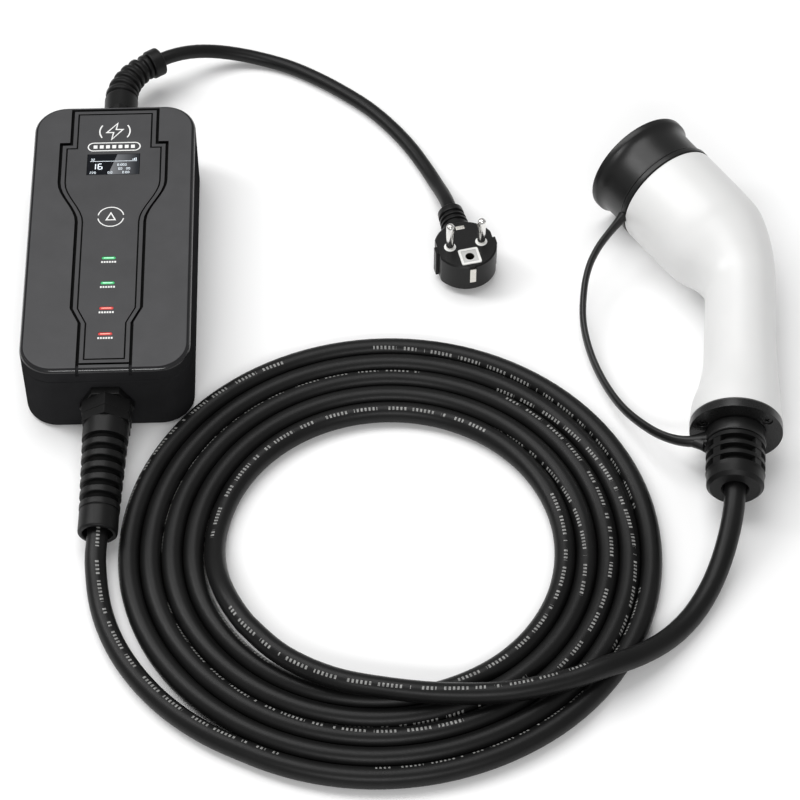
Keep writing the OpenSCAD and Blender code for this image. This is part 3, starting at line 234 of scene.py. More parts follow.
def ranged(nodes, links, value, low, high, start=0.3, end=0.7):
    spread = nodes.new("ShaderNodeMapRange")
    spread.inputs["From Min"].default_value = start
    spread.inputs["From Max"].default_value = end
    spread.inputs["To Min"].default_value = low
    spread.inputs["To Max"].default_value = high
    links.new(value, spread.inputs["Value"])
    return spread.outputs["Result"]


def shade_spread(nodes, links, value, dark, light):
    ramp = nodes.new("ShaderNodeValToRGB")
    ramp.color_ramp.elements[0].position = 0.3
    ramp.color_ramp.elements[1].position = 0.7
    ramp.color_ramp.elements[0].color = (*dark, 1)
    ramp.color_ramp.elements[1].color = (*light, 1)
    links.new(value, ramp.inputs["Fac"])
    return ramp.outputs["Color"]


def moulded(name, colour, roughness, grain, depth, specular=0.5, mottle=0.08, metallic=0.0):
    """A moulded surface: slight unevenness in colour and gloss, and a fine grain where it has depth."""
    finish, nodes, links, shader = finish_nodes(name, metallic, roughness, specular)
    cloud = object_noise(nodes, links, 14 * MM, 3.0)
    dark = [c * (1 - mottle) for c in colour]
    light = [c * (1 + mottle) for c in colour]
    links.new(shade_spread(nodes, links, cloud, dark, light), shader.inputs["Base Color"])
    speck = object_noise(nodes, links, grain)
    links.new(ranged(nodes, links, speck, roughness - 0.05, roughness + 0.05), shader.inputs["Roughness"])
    if depth:
        bump = nodes.new("ShaderNodeBump")
        bump.inputs["Distance"].default_value = depth
        bump.inputs["Strength"].default_value = 1.0
        links.new(speck, bump.inputs["Height"])
        links.new(bump.outputs["Normal"], shader.inputs["Normal"])
    return finish


def printed_cable(name, colour, roughness, specular):
    """Cable sheath with a row of plain printed dashes; U runs along the cable in metres, V round it."""
    half_height, print_grey = 0.027, (0.36, 0.36, 0.35, 1)
    dash_rows = ((2.3 * MM, 0.5), (17 * MM, 0.8), (39 * MM, 0.88), (260 * MM, 0.8))
    finish, nodes, links, shader = finish_nodes(name, 0.0, roughness, specular)
    where, parts = nodes.new("ShaderNodeUVMap"), nodes.new("ShaderNodeSeparateXYZ")
    where.uv_map = "sheath"
    links.new(where.outputs["UV"], parts.inputs["Vector"])

    def math_node(operation, first, second):
        node = nodes.new("ShaderNodeMath")
        node.operation = operation
        for socket, value in zip(node.inputs, (first, second)):
            if isinstance(value, float):
                socket.default_value = value
            else:
                links.new(value, socket)
        return node.outputs[0]

    along, round_it = parts.outputs["X"], parts.outputs["Y"]
    once_round = math_node("FRACT", round_it, 0.0)
    off_line = math_node("ABSOLUTE", math_node("SUBTRACT", once_round, 0.5), 0.0)

    def repeats(every, share):
        return math_node("LESS_THAN", math_node("FRACT", math_node("DIVIDE", along, every), 0.0), share)

    ink = math_node("LESS_THAN", off_line, half_height)
    for every, share in dash_rows:
        ink = math_node("MULTIPLY", ink, repeats(every, share))
    worn = ranged(nodes, links, object_noise(nodes, links, 1.2 * MM), 0.35, 0.95)
    mix = nodes.new("ShaderNodeMix")
    mix.data_type = "RGBA"
    links.new(math_node("MULTIPLY", ink, worn), mix.inputs["Factor"])
    cloud = object_noise(nodes, links, 22 * MM, 3.0)
    dark, light = [c * 0.8 for c in colour], [c * 1.25 for c in colour]
    links.new(shade_spread(nodes, links, cloud, dark, light), mix.inputs["A"])
    mix.inputs["B"].default_value = print_grey
    links.new(mix.outputs["Result"], shader.inputs["Base Color"])
    speck = object_noise(nodes, links, 0.5 * MM)
    links.new(ranged(nodes, links, speck, roughness - 0.06, roughness + 0.06), shader.inputs["Roughness"])
    bump = nodes.new("ShaderNodeBump")
    bump.inputs["Distance"].default_value = 0.03 * MM
    bump.inputs["Strength"].default_value = 1.0
    links.new(speck, bump.inputs["Height"])
    links.new(bump.outputs["Normal"], shader.inputs["Normal"])
    return finish


def fading_glare(name, bright, dim, start, end):
    """Light on glass that fades to the right."""
    finish, nodes, links, shader = finish_nodes(name, 0.0, 0.3, 0.2)
    where, parts = nodes.new("ShaderNodeTexCoord"), nodes.new("ShaderNodeSeparateXYZ")
    links.new(where.outputs["Object"], parts.inputs["Vector"])
    across = ranged(nodes, links, parts.outputs["X"], 0.3, 0.7, start, end)
    links.new(shade_spread(nodes, links, across, bright, dim), shader.inputs["Base Color"])
    return finish


def glowing(name, colour, strength):
    finish, nodes, links, shader = finish_nodes(name, 0.0, 0.3, 0.5)
    haze = object_noise(nodes, links, 1.5 * MM)
    tint = shade_spread(nodes, links, haze, [c * 0.8 for c in colour], colour)
    links.new(tint, shader.inputs["Base Color"])
    links.new(tint, shader.inputs["Emission Color"])
    shader.inputs["Emission Strength"].default_value = strength
    return finish


COVER_EDGE = moulded("cover_edge", (0.006, 0.006, 0.007), 0.18, 0.4 * MM, 0.002 * MM, specular=0.6)
# Painted shade: near-black for the shadow in the groove round the panel and in the slits of the output relief
PAINTED_RECESS_SHADE = moulded("painted_recess_shade", (0.002, 0.002, 0.002), 0.6, 0.4 * MM, 0, specular=0.05)
GLAND_BLACK = moulded("gland_black", (0.006, 0.006, 0.006), 0.38, 0.5 * MM, 0.015 * MM, specular=0.22)
STRAP_BLACK = moulded("strap_black", (0.008, 0.008, 0.008), 0.36, 0.5 * MM, 0.008 * MM, specular=0.35)
SCREEN_GLARE = fading_glare("screen_glare", (0.17, 0.175, 0.185), (0.012, 0.014, 0.018), -2 * MM, 14 * MM)
COVER_GREY = moulded("cover_grey", (0.048, 0.048, 0.05), 0.5, 0.35 * MM, 0.04 * MM, specular=0.3)
PANEL_GREY = moulded("panel_grey", (0.044, 0.044, 0.046), 0.5, 0.35 * MM, 0.04 * MM, specular=0.3)
SHELL_BLACK = moulded("shell_black", (0.02, 0.02, 0.021), 0.45, 0.4 * MM, 0.02 * MM, specular=0)
BOOT_BLACK = moulded("boot_black", (0.005, 0.005, 0.005), 0.42, 0.5 * MM, 0.02 * MM, specular=0.2)
PLUG_BLACK = moulded("plug_black", (0.006, 0.006, 0.006), 0.38, 0.4 * MM, 0.015 * MM, specular=0.22)
CABLE_BLACK = printed_cable("cable_black", (0.005, 0.005, 0.005), 0.4, 0.22)
HANDLE_WHITE = moulded("handle_white", (0.75, 0.75, 0.745), 0.35, 1.2 * MM, 0, mottle=0.008)
CAP_BLACK = moulded("cap_black", (0.005, 0.005, 0.005), 0.36, 0.6 * MM, 0.004 * MM, specular=0.4)
CONNECTOR_BLACK = moulded("connector_black", (0.006, 0.006, 0.006), 0.3, 0.5 * MM, 0.006 * MM, specular=0.4)
# Painted shade: near-black on the walls of the earth hole in the plug's white insert, for the shadow inside
# the hole
EARTH_HOLE_SHADE = moulded("earth_hole_shade", (0.012, 0.011, 0.010), 0.5, 0.5 * MM, 0.01 * MM, specular=0.2)
TAIL_SCREW = moulded("tail_screw", (0.05, 0.05, 0.05), 0.4, 0.4 * MM, 0.006 * MM, metallic=1.0)
DISPLAY_GLASS = moulded("display_glass", (0.003, 0.004, 0.006), 0.15, 2 * MM, 0.002 * MM, specular=0.2)
PIN_METAL = moulded("pin_metal", (0.78, 0.77, 0.75), 0.16, 0.8 * MM, 0.004 * MM, metallic=1.0, mottle=0.04)
EARTH_METAL = moulded("earth_metal", (0.72, 0.70, 0.65), 0.3, 0.6 * MM, 0.006 * MM, metallic=1.0)
SCREW_STEEL = moulded("screw_steel", (0.55, 0.55, 0.54), 0.3, 0.4 * MM, 0.006 * MM, metallic=1.0)
CONTACT_METAL = moulded("contact_metal", (0.76, 0.70, 0.58), 0.22, 0.5 * MM, 0.004 * MM, metallic=1.0)
PLUG_WHITE = moulded("plug_white", (0.78, 0.78, 0.76), 0.36, 0.6 * MM, 0.01 * MM, mottle=0.02)
# Painted shade: mid grey on the shallow dish of the plug's white insert, so the dish reads darker than its
# frame
INSERT_DISH_SHADE = moulded("insert_dish_shade", (0.5, 0.5, 0.49), 0.4, 0.6 * MM, 0.01 * MM, mottle=0.03)
SEAL_RUBBER = moulded("seal_rubber", (0.06, 0.06, 0.06), 0.7, 0.5 * MM, 0.02 * MM)
CIRCUIT_GREEN = moulded("circuit_green", (0.02, 0.12, 0.05), 0.4, 1.5 * MM, 0.02 * MM)
COMPONENT_DARK = moulded("component_dark", (0.03, 0.035, 0.04), 0.5, 0.5 * MM, 0.02 * MM)
WINDING_AMBER = moulded("winding_amber", (0.55, 0.36, 0.06), 0.4, 0.8 * MM, 0.04 * MM)
TERMINAL_GREEN = moulded("terminal_green", (0.05, 0.2, 0.1), 0.45, 0.5 * MM, 0.02 * MM)
CORE_BLUE = moulded("core_blue", (0.03, 0.11, 0.4), 0.4, 0.6 * MM, 0.01 * MM)
CORE_BROWN = moulded("core_brown", (0.25, 0.13, 0.04), 0.4, 0.6 * MM, 0.01 * MM)
PRINT_WHITE = moulded("print_white", (0.8, 0.8, 0.79), 0.6, 0.6 * MM, 0.004 * MM, mottle=0.03)
SCREEN_WHITE = glowing("screen_white", (0.75, 0.82, 0.88), 0.55)
LED_GREEN = glowing("led_green", (0.03, 0.42, 0.13), 0.25)
LED_RED = glowing("led_red", (0.55, 0.025, 0.02), 0.25)
LED_GREEN_CORE = glowing("led_green_core", (0.45, 0.95, 0.62), 0.6)
LED_RED_CORE = glowing("led_red_core", (0.95, 0.36, 0.3), 0.5)


# Modelling

def add_piece(name, bm, finish, nodes=(), body="charger", smooth_angle=40):
    bmesh.ops.recalc_face_normals(bm, faces=bm.faces)
    mesh = bpy.data.meshes.new(name)
    bm.to_mesh(mesh)
    bm.free()
    for face in mesh.polygons:
        face.use_smooth = True
    mesh.set_sharp_from_angle(angle=math.radians(smooth_angle))
    mesh.materials.append(finish)
    piece = bpy.data.objects.new(name, mesh)
    bpy.context.scene.collection.objects.link(piece)
    if body:
        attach(piece, body)
    if nodes:
        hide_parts(*nodes)
    return piece


def soft_edges(piece, width):
    bevel = piece.modifiers.new("soft_edges", "BEVEL")
    bevel.width, bevel.segments = width, 2
    bevel.limit_method, bevel.angle_limit = "ANGLE", math.radians(35)
    piece.modifiers.new("even_shading", "WEIGHTED_NORMAL")
    return piece


def dressed(node, finish, width, corner_r=0):
    """A copy of a CAD node with its triangles joined into clean faces and its edges softened."""
    tall_from = 12 * MM
    bm = bmesh.new()
    bm.from_mesh(frame["nodes"][node].data)
    bmesh.ops.remove_doubles(bm, verts=bm.verts, dist=0.002 * MM)
    bmesh.ops.dissolve_limit(bm, angle_limit=math.radians(1), verts=bm.verts, edges=bm.edges)
    if corner_r:
        tall = [e for e in bm.edges if abs(e.verts[0].co.z - e.verts[1].co.z) > tall_from]
        bmesh.ops.bevel(bm, geom=tall, offset=corner_r, segments=4, profile=0.5, affect="EDGES", material=-1)
    piece = add_piece(node + "_dressed", bm, finish, [node])
    return soft_edges(piece, width) if width else piece


def raised(bm, faces, height):
    """Flat faces pulled up into a closed solid."""
    grown = bmesh.ops.extrude_face_region(bm, geom=faces)["geom"]
    risen = [g for g in grown if isinstance(g, bmesh.types.BMVert)]
    bmesh.ops.translate(bm, vec=(0, 0, height), verts=risen)
    bmesh.ops.recalc_face_normals(bm, faces=bm.faces)
    return bm


def prism(outline, z0, z1):
    bm = bmesh.new()
    face = bm.faces.new([bm.verts.new((x, y, z0)) for x, y in outline])
    return raised(bm, [face], z1 - z0)


def carved(bm, cutters, operation="DIFFERENCE"):
    """The shape with other shapes cut out of it or, by UNION, joined to it."""
    scene = bpy.context.scene.collection.objects

    def loose(shape, name):
        mesh = bpy.data.meshes.new(name)
        bmesh.ops.recalc_face_normals(shape, faces=shape.faces)
        shape.to_mesh(mesh)
        shape.free()
        thing = bpy.data.objects.new(name, mesh)
        scene.link(thing)
        return thing

    work = loose(bm, "work")
    tools = [loose(cutter, "tool") for cutter in cutters]
    for tool in tools:
        cut = work.modifiers.new("cut", "BOOLEAN")
        cut.operation, cut.object, cut.solver = operation, tool, "EXACT"
    graph = bpy.context.evaluated_depsgraph_get()
    result = bmesh.new()
    result.from_mesh(work.evaluated_get(graph).to_mesh())
    work.evaluated_get(graph).to_mesh_clear()
    for thing in [work, *tools]:
        bpy.data.objects.remove(thing)
    return result


def smoothed_corners(points):
    """A polyline of (x, y, radius) with each corner rounded by its radius."""
    steps = 4
    out = []
    for i, (x, y, radius) in enumerate(points):
        here = Vector((x, y))
        if radius == 0 or i in (0, len(points) - 1):
            out.append((x, y))
            continue
        back, on = Vector(points[i - 1][:2]) - here, Vector(points[i + 1][:2]) - here
        cut = min(radius, back.length * 0.49, on.length * 0.49)
        first, last = here + back.normalized() * cut, here + on.normalized() * cut
        for k in range(steps + 1):
            s = k / steps
            p = first * (1 - s) ** 2 + here * 2 * s * (1 - s) + last * s ** 2
            out.append((p.x, p.y))
    return out


def revolved(profile, steps):
    """A profile of (radius, height) spun round Z."""
    bm = bmesh.new()
    verts = [bm.verts.new((r, 0, z)) for r, z in profile]
    edges = [bm.edges.new(pair) for pair in zip(verts, verts[1:])]
    bmesh.ops.spin(bm, geom=verts + edges, axis=(0, 0, 1), cent=(0, 0, 0), angle=FULL_TURN, steps=steps,
                   use_merge=True)
    bmesh.ops.remove_doubles(bm, verts=bm.verts, dist=MM / 1000)
    bmesh.ops.recalc_face_normals(bm, faces=bm.faces)
    return bm


def placed(bm, matrix):
    bmesh.ops.transform(bm, matrix=matrix, verts=bm.verts)
    return bm


def merged(*shapes):
    mesh = bpy.data.meshes.new("joined")
    whole = bmesh.new()
    for shape in shapes:
        bmesh.ops.recalc_face_normals(shape, faces=shape.faces)
        shape.to_mesh(mesh)
        whole.from_mesh(mesh)
        shape.free()
    bpy.data.meshes.remove(mesh)
    return whole


def curve_points(keys, spacing):
    """Points close together on a smooth line through the keys."""
    keys = [Vector(k) for k in keys]
    out = []
    for i in range(len(keys) - 1):
        a, b, c, d = keys[max(i - 1, 0)], keys[i], keys[i + 1], keys[min(i + 2, len(keys) - 1)]
        steps = max(1, round((c - b).length / spacing))
        reach = (c - b).length
        leave = (c - a).normalized() * reach
        arrive = (d - b).normalized() * reach
        for k in range(steps):
            t = k / steps
            out.append(b * (2 * t ** 3 - 3 * t ** 2 + 1) + leave * (t ** 3 - 2 * t ** 2 + t)
                       + c * (3 * t ** 2 - 2 * t ** 3) + arrive * (t ** 3 - t ** 2))
    return out + [keys[-1]]


def from_columns(*columns):
    return Matrix([[column[row] for column in columns] for row in range(3)] + [[0, 0, 0, 1]])


def section_frame(centre, ahead, wide, high):
    """Matrix that carries a unit circle to a section across a path."""
    side = ahead.cross(UP).normalized()
    rise = side.cross(ahead).normalized()
    return from_columns(side * wide, rise * high, ahead.normalized(), centre)


def path_frames(points, wide, high):
    """A section at each point; wide and high are numbers or functions of the share of the path."""
    frames = []
    for i, p in enumerate(points):
        ahead = points[min(i + 1, len(points) - 1)] - points[max(i - 1, 0)]
        share = i / (len(points) - 1)
        w = wide(share) if callable(wide) else wide
        h = high(share) if callable(high) else high
        frames.append(section_frame(p, ahead, w, h))
    return frames


def swept(frames, steps):
    """A circle carried through the sections by extruding its edges, with closed ends."""
    bm = bmesh.new()
    bmesh.ops.create_circle(bm, segments=steps, radius=1, matrix=frames[0])
    edges, first = list(bm.edges), list(bm.edges)
    for before, after in zip(frames, frames[1:]):
        grown = bmesh.ops.extrude_edge_only(bm, edges=edges)["geom"]
        verts = [g for g in grown if isinstance(g, bmesh.types.BMVert)]
        fresh = set(verts)
        edges = [g for g in grown if isinstance(g, bmesh.types.BMEdge) and set(g.verts) <= fresh]
        bmesh.ops.transform(bm, matrix=after @ before.inverted(), verts=verts)
    bmesh.ops.contextual_create(bm, geom=first)
    bmesh.ops.contextual_create(bm, geom=edges)
    return bm


def map_sheath(bm, points, steps):
    """UV map of a swept tube: U along it in metres, V once round it and a half where the print lies."""
    lengths = [0.0]
    for a, b in zip(points, points[1:]):
        lengths.append(lengths[-1] + (b - a).length)
    print_lies = []
    for section, length in zip(path_frames(points, 1, 1), lengths):
        side, rise = section.col[0].xyz, section.col[1].xyz
        facing = math.atan2(-PRINT_FACES.dot(side), PRINT_FACES.dot(rise)) / FULL_TURN
        wander = PRINT_WANDER * math.sin(FULL_TURN * length / WANDER_L)
        turned_under = 0.5 * max(0, 1 - (lengths[-1] - length) / UNDER_L)
        print_lies.append(facing + wander + turned_under)
    bm.verts.index_update()
    sheath = bm.loops.layers.uv.new("sheath")
    for face in bm.faces:
        spots = [loop.vert.index % steps for loop in face.loops]
        wraps = max(spots) - min(spots) > 1
        for loop, spot in zip(face.loops, spots):
            share = 1.0 if wraps and spot == 0 else spot / steps
            row = min(loop.vert.index // steps, len(lengths) - 1)
            loop[sheath].uv = (lengths[row], share - print_lies[row] + 0.5)


# Cables

def charging_cable_points():
    boot = [OUT_TAIL @ Vector((0, 0, d)) for d in (OUT_TAIL_L * 0.7, OUT_TAIL_L)]
    coil_r = COIL_OUTER_R - CABLE_D / 2
    coil_from, step_from, step_to = 240, 180, 300
    climb_from, climb_to = 165, 210
    coil = []
    for degrees in range(coil_from, 360 * COIL_TURNS + climb_to + 1, 6):
        laps, angle = divmod(degrees - step_from, 360)
        share = min(1, angle / (step_to - step_from))
        inward = laps - 1 + share * share * (3 - 2 * share)
        radius = coil_r - CABLE_D * min(inward, COIL_TURNS - 1)
        rise = min(1, max(0, (degrees - 360 * COIL_TURNS - climb_from) / (climb_to - climb_from)))
        height = CABLE_D / 2 + CABLE_D * rise * rise * (3 - 2 * rise)
        turn = math.radians(degrees)
        coil.append(COIL_CENTRE + Vector((radius * math.cos(turn), radius * math.sin(turn), height)))
    boot_in = [AT_CONNECTOR @ Vector((0, y * MM, 0)) for y in (-44, -24, 0, 40, 78)]
    return curve_points(boot + OUTPUT_ROUTE + coil + CONNECTOR_ROUTE + boot_in, 6 * MM)


def mains_cord_points():
    bend = AT_INPUT @ moved(0, 0, TAIL_START + IN_TAIL_L)
    keys = []
    for share in (0.7, 1.0):
        a = IN_BEND * share
        keys.append(bend @ Vector((IN_BEND_R * (1 - math.cos(a)), 0, IN_BEND_R * math.sin(a))))
    plug_tail = [AT_PLUG @ Vector((0, y * MM, PLUG_TAIL_Z)) for y in (34, 21)]
    return curve_points(keys + INPUT_ROUTE + plug_tail, 5 * MM)


def tube_piece(name, points, diameter, steps, nodes):
    bm = swept(path_frames(points, diameter / 2, diameter / 2), steps)
    map_sheath(bm, points, steps)
    return add_piece(name, bm, CABLE_BLACK, nodes)


# Control box

def box_shell():
    dressed("bottom_shell", SHELL_BLACK, 0.3 * MM)
    cover = dressed("top_cover", COVER_GREY, 0.5 * MM)
    panel = dressed("front_panel", PANEL_GREY, 0.35 * MM)
    # Slot 2 is painted shade: near-black on the faces in the groove round the panel, for the shadow in the
    # gap
    edge, groove, wall = 1, 2, 3
    for piece, flat_over in ((cover, COVER_FLAT_OVER), (panel, PANEL_FLAT_OVER)):
        for finish in (COVER_EDGE, PAINTED_RECESS_SHADE, SHELL_BLACK):
            piece.data.materials.append(finish)
        for face in piece.data.polygons:
            if face.normal.z > FLAT_NORMAL and face.center.z > flat_over:
                continue
            x, y, z = face.center
            in_groove = abs(x) < GROOVE_HALF_W and abs(y) < GROOVE_HALF_L and z > GROOVE_OVER
            rounded = EDGE_NORMAL_LOW < face.normal.z < EDGE_NORMAL_HIGH
            face.material_index = groove if in_groove else edge if rounded else wall


def bar(x, y, w, h):
    return [(x - w / 2, y - h / 2), (x + w / 2, y - h / 2), (x + w / 2, y + h / 2), (x - w / 2, y + h / 2)]


def flat(outline, lift=PRINT_LIFT):
    """A printed patch on the panel."""
    return prism(outline, PANEL_TOP - PRINT_LIFT, PANEL_TOP + lift)


def stroke(points, width, closed=False):
    """A printed line of even width along the points."""
    points = [Vector(p) for p in points]
    last = len(points) - 1
    bm = bmesh.new()
    rails = []
    for i, p in enumerate(points):
        before = points[i - 1] if closed or i else 2 * p - points[1]
        after = points[(i + 1) % len(points)] if closed or i < last else 2 * p - points[i - 1]
        leave = (after - p).normalized()
        middle = ((p - before).normalized() + leave).normalized()
        side = Vector((-middle.y, middle.x)) * width / 2 / max(0.4, middle.dot(leave))
        rails.append([bm.verts.new((*q, PANEL_TOP - PRINT_LIFT)) for q in (p + side, p - side)])
    for (a, b), (c, d) in zip(rails, rails[1:] + rails[:1] if closed else rails[1:]):
        bm.faces.new((a, b, d, c))
    return raised(bm, list(bm.faces), 2 * PRINT_LIFT)


def printed(name, shapes, finish):
    return add_piece(name, merged(*shapes), finish)


def arc_points(x, y, r, start, end, steps=32):
    turns = [math.radians(start + (end - start) * k / steps) for k in range(steps + 1)]
    return [(x + r * math.cos(t), y + r * math.sin(t)) for t in turns]


def bolt_sign():
    """A bolt between two arcs."""
    line_w, arc_r, arc_half = 0.8 * MM, 9 * MM, 34
    bolt = [(1.5, 6.6), (-4.8, -0.9), (-0.7, -0.9), (-1.7, -6.6), (4.8, 1.5), (0.7, 1.5)]
    sign = [stroke([(x * MM, BOLT_Y + y * MM) for x, y in bolt], line_w, closed=True)]
    for facing in (0, 180):
        sign.append(stroke(arc_points(0, BOLT_Y, arc_r, facing - arc_half, facing + arc_half, 14), line_w))
    return sign


def charge_bar():
    """A pill with a row of filled cells."""
    line_w, end_x, end_r = 0.7 * MM, 12.2 * MM, 3.2 * MM
    cells, pitch, cell_w, cell_h = 7, 3.7 * MM, 2.3 * MM, 2.6 * MM
    pill = arc_points(end_x, PILL_Y, end_r, -90, 90, 14) + arc_points(-end_x, PILL_Y, end_r, 90, 270, 14)
    middle = (cells - 1) // 2
    return [stroke(pill, line_w, closed=True)] + [
        flat(bar((i - middle) * pitch, PILL_Y, cell_w, cell_h)) for i in range(cells)]


def touch_sign():
    """A triangle in a ring that is open on both sides."""
    ring_r, ring_w, peak_w, span = 7.5 * MM, 0.65 * MM, 0.75 * MM, 160
    sign = [stroke(arc_points(0, TOUCH_Y, ring_r, start, start + span), ring_w) for start in (10, 190)]
    peak = [(-2.6, -2.4), (0, 3), (2.6, -2.4)]
    sign.append(stroke([(x * MM, TOUCH_Y + y * MM) for x, y in peak], peak_w, closed=True))
    return sign


def led_captions():
    """A short row of bars under each lens."""
    bars, pitch, below, bar_w, bar_h = 6, 1.5 * MM, 3.1 * MM, 1 * MM, 1.3 * MM
    middle = (bars - 1) / 2
    return [flat(bar((i - middle) * pitch, y - below, bar_w, bar_h)) for y in LED_YS for i in range(bars)]


def panel_print():
    mark = bolt_sign() + charge_bar() + touch_sign() + led_captions()
    printed("panel_print", mark, PRINT_WHITE)


SEGMENTS = {"0": "abcdef", "1": "bc", "2": "abged", "3": "abgcd", "6": "afgcde"}


def figures(text, x, y, h):
    """Bars of plain figures, the first one's lower left corner at x, y."""
    w, t = h * 0.52, h * 0.14
    wide, high = w - t, h / 2 - t / 4
    strips = {"a": (w / 2, h, wide, t), "g": (w / 2, h / 2, wide, t), "d": (w / 2, 0, wide, t),
              "f": (0, h * 0.75, t, high), "b": (w, h * 0.75, t, high), "e": (0, h / 4, t, high),
              "c": (w, h / 4, t, high)}
    bars = []
    for figure in text:
        if figure == ".":
            bars.append(bar(x, y, t, t))
            x += 2.2 * t
            continue
        for segment in SEGMENTS[figure]:
            across, up, bar_w, bar_h = strips[segment]
            bars.append(bar(x + across, y + up, bar_w, bar_h))
        x += w + 2.6 * t
    return bars


def display():
    dressed("display_window", DISPLAY_GLASS, 0.2 * MM)
    x0, y0 = -DISPLAY_W / 2, DISPLAY_Y - DISPLAY_H / 2

    def at(across, up):
        return x0 + across * DISPLAY_W, y0 + up * DISPLAY_H

    glare = [at(0.57, 0.985), at(0.99, 0.985), at(0.99, 0.015), at(0.41, 0.015)]
    printed("display_glare", [flat(glare, lift=0.4 * PRINT_LIFT)], SCREEN_GLARE)
    big_h, small_h, rule_l, rule_w, signal_w = 4.3 * MM, 1.5 * MM, 27.6 * MM, 0.28 * MM, 0.5 * MM
    shown = figures("16", *at(0.09, 0.27), big_h)
    shown += [bar(*at(0.5, 0.655), rule_l, rule_w)]
    for text, across, up in (
            ("220", 0.06, 0.06), ("0.0", 0.4, 0.06), ("0.00", 0.68, 0.06), ("0.000", 0.58, 0.43),
            ("00", 0.6, 0.24), ("00", 0.75, 0.24), ("32", 0.07, 0.70)):
        shown += figures(text, *at(across, up), small_h)
    for i in range(3):
        shown.append(bar(*at(0.87 + 0.03 * i, 0.73 + 0.01 * i), signal_w, (0.9 + 0.5 * i) * MM))
    printed("display_figures", [flat(outline) for outline in shown], SCREEN_WHITE)


def indicators():
    core_l, core_w = 5.6 * MM, 0.6 * MM
    green, red = (LED_GREEN, LED_GREEN_CORE, "led_green"), (LED_RED, LED_RED_CORE, "led_red")
    names = ("led_power", "led_charge", "led_fault_1", "led_fault_2")
    for name, y, (finish, core, slot) in zip(names, LED_YS, (green, green, red, red)):
        dressed(name, finish, 0.15 * MM)
        printed(name + "_core", [flat(bar(0, y, core_l, core_w))], core)


# Cable glands and their bend reliefs

def gland_nut(flats, bore_r):
    """A hexagon with a smaller step in front, a corner upward and its foot at the origin."""
    length = TAIL_START - FLANGE_T
    steps = []
    for across, high in ((flats, 0.6 * length), (flats - MM, length)):
        step = bmesh.new()
        corner_r = across / math.sqrt(3)
        bmesh.ops.create_cone(step, cap_ends=True, segments=6, radius1=corner_r, radius2=corner_r, depth=high,
                              matrix=moved(0, 0, high / 2))
        steps.append(step)
    bore = bmesh.new()
    bmesh.ops.create_cone(bore, cap_ends=True, segments=48, radius1=bore_r, radius2=bore_r, depth=3 * length)
    grip, front = steps
    return carved(carved(grip, [front], "UNION"), [bore])


def output_relief():
    """Plain foot, rings with open slits between them, then a plain collar and an open mouth."""
    plain, collar_l, rings, depth, sunk = 9 * MM, 14 * MM, 6, 1.6 * MM, 1.6 * MM
    pitch = (OUT_TAIL_L - collar_l - plain) / rings
    mouth_r = OUT_TAIL_R1 - 2.4 * MM
    profile = [(OUT_BORE_R, -sunk), (OUT_TAIL_R0, -sunk), (OUT_TAIL_R0, plain)]
    for i in range(rings):
        start = plain + i * pitch
        r = OUT_TAIL_R0 + (OUT_TAIL_R1 - OUT_TAIL_R0) * start / OUT_TAIL_L
        for share, drop in (
                (0.0, 1), (0.38, 1), (0.42, 0.6), (0.45, 0.2), (0.5, 0), (0.9, 0), (0.94, 0.04), (0.97, 0.14),
                (0.995, 0.4)):
            profile.append((r - depth * drop, start + share * pitch))
    r, end = OUT_TAIL_R1 + 0.5 * MM, OUT_TAIL_L
    profile += [(r - 0.5 * MM, end - collar_l + 0.1 * MM), (r - 0.1 * MM, end - collar_l + 0.4 * MM),
                (r, end - collar_l + 0.9 * MM), (r, end - 1.6 * MM), (r - 0.2 * MM, end - 0.7 * MM),
                (r - 0.7 * MM, end - 0.15 * MM), (r - 1.3 * MM, end), (mouth_r + 0.6 * MM, end - 0.1 * MM),
                (mouth_r + 0.1 * MM, end - 0.6 * MM), (mouth_r, end - 1.2 * MM), (mouth_r, end - 8 * MM),
                (OUT_BORE_R, end - 9.8 * MM), (OUT_BORE_R, -sunk)]
    return placed(revolved(profile, 96), OUT_TAIL)


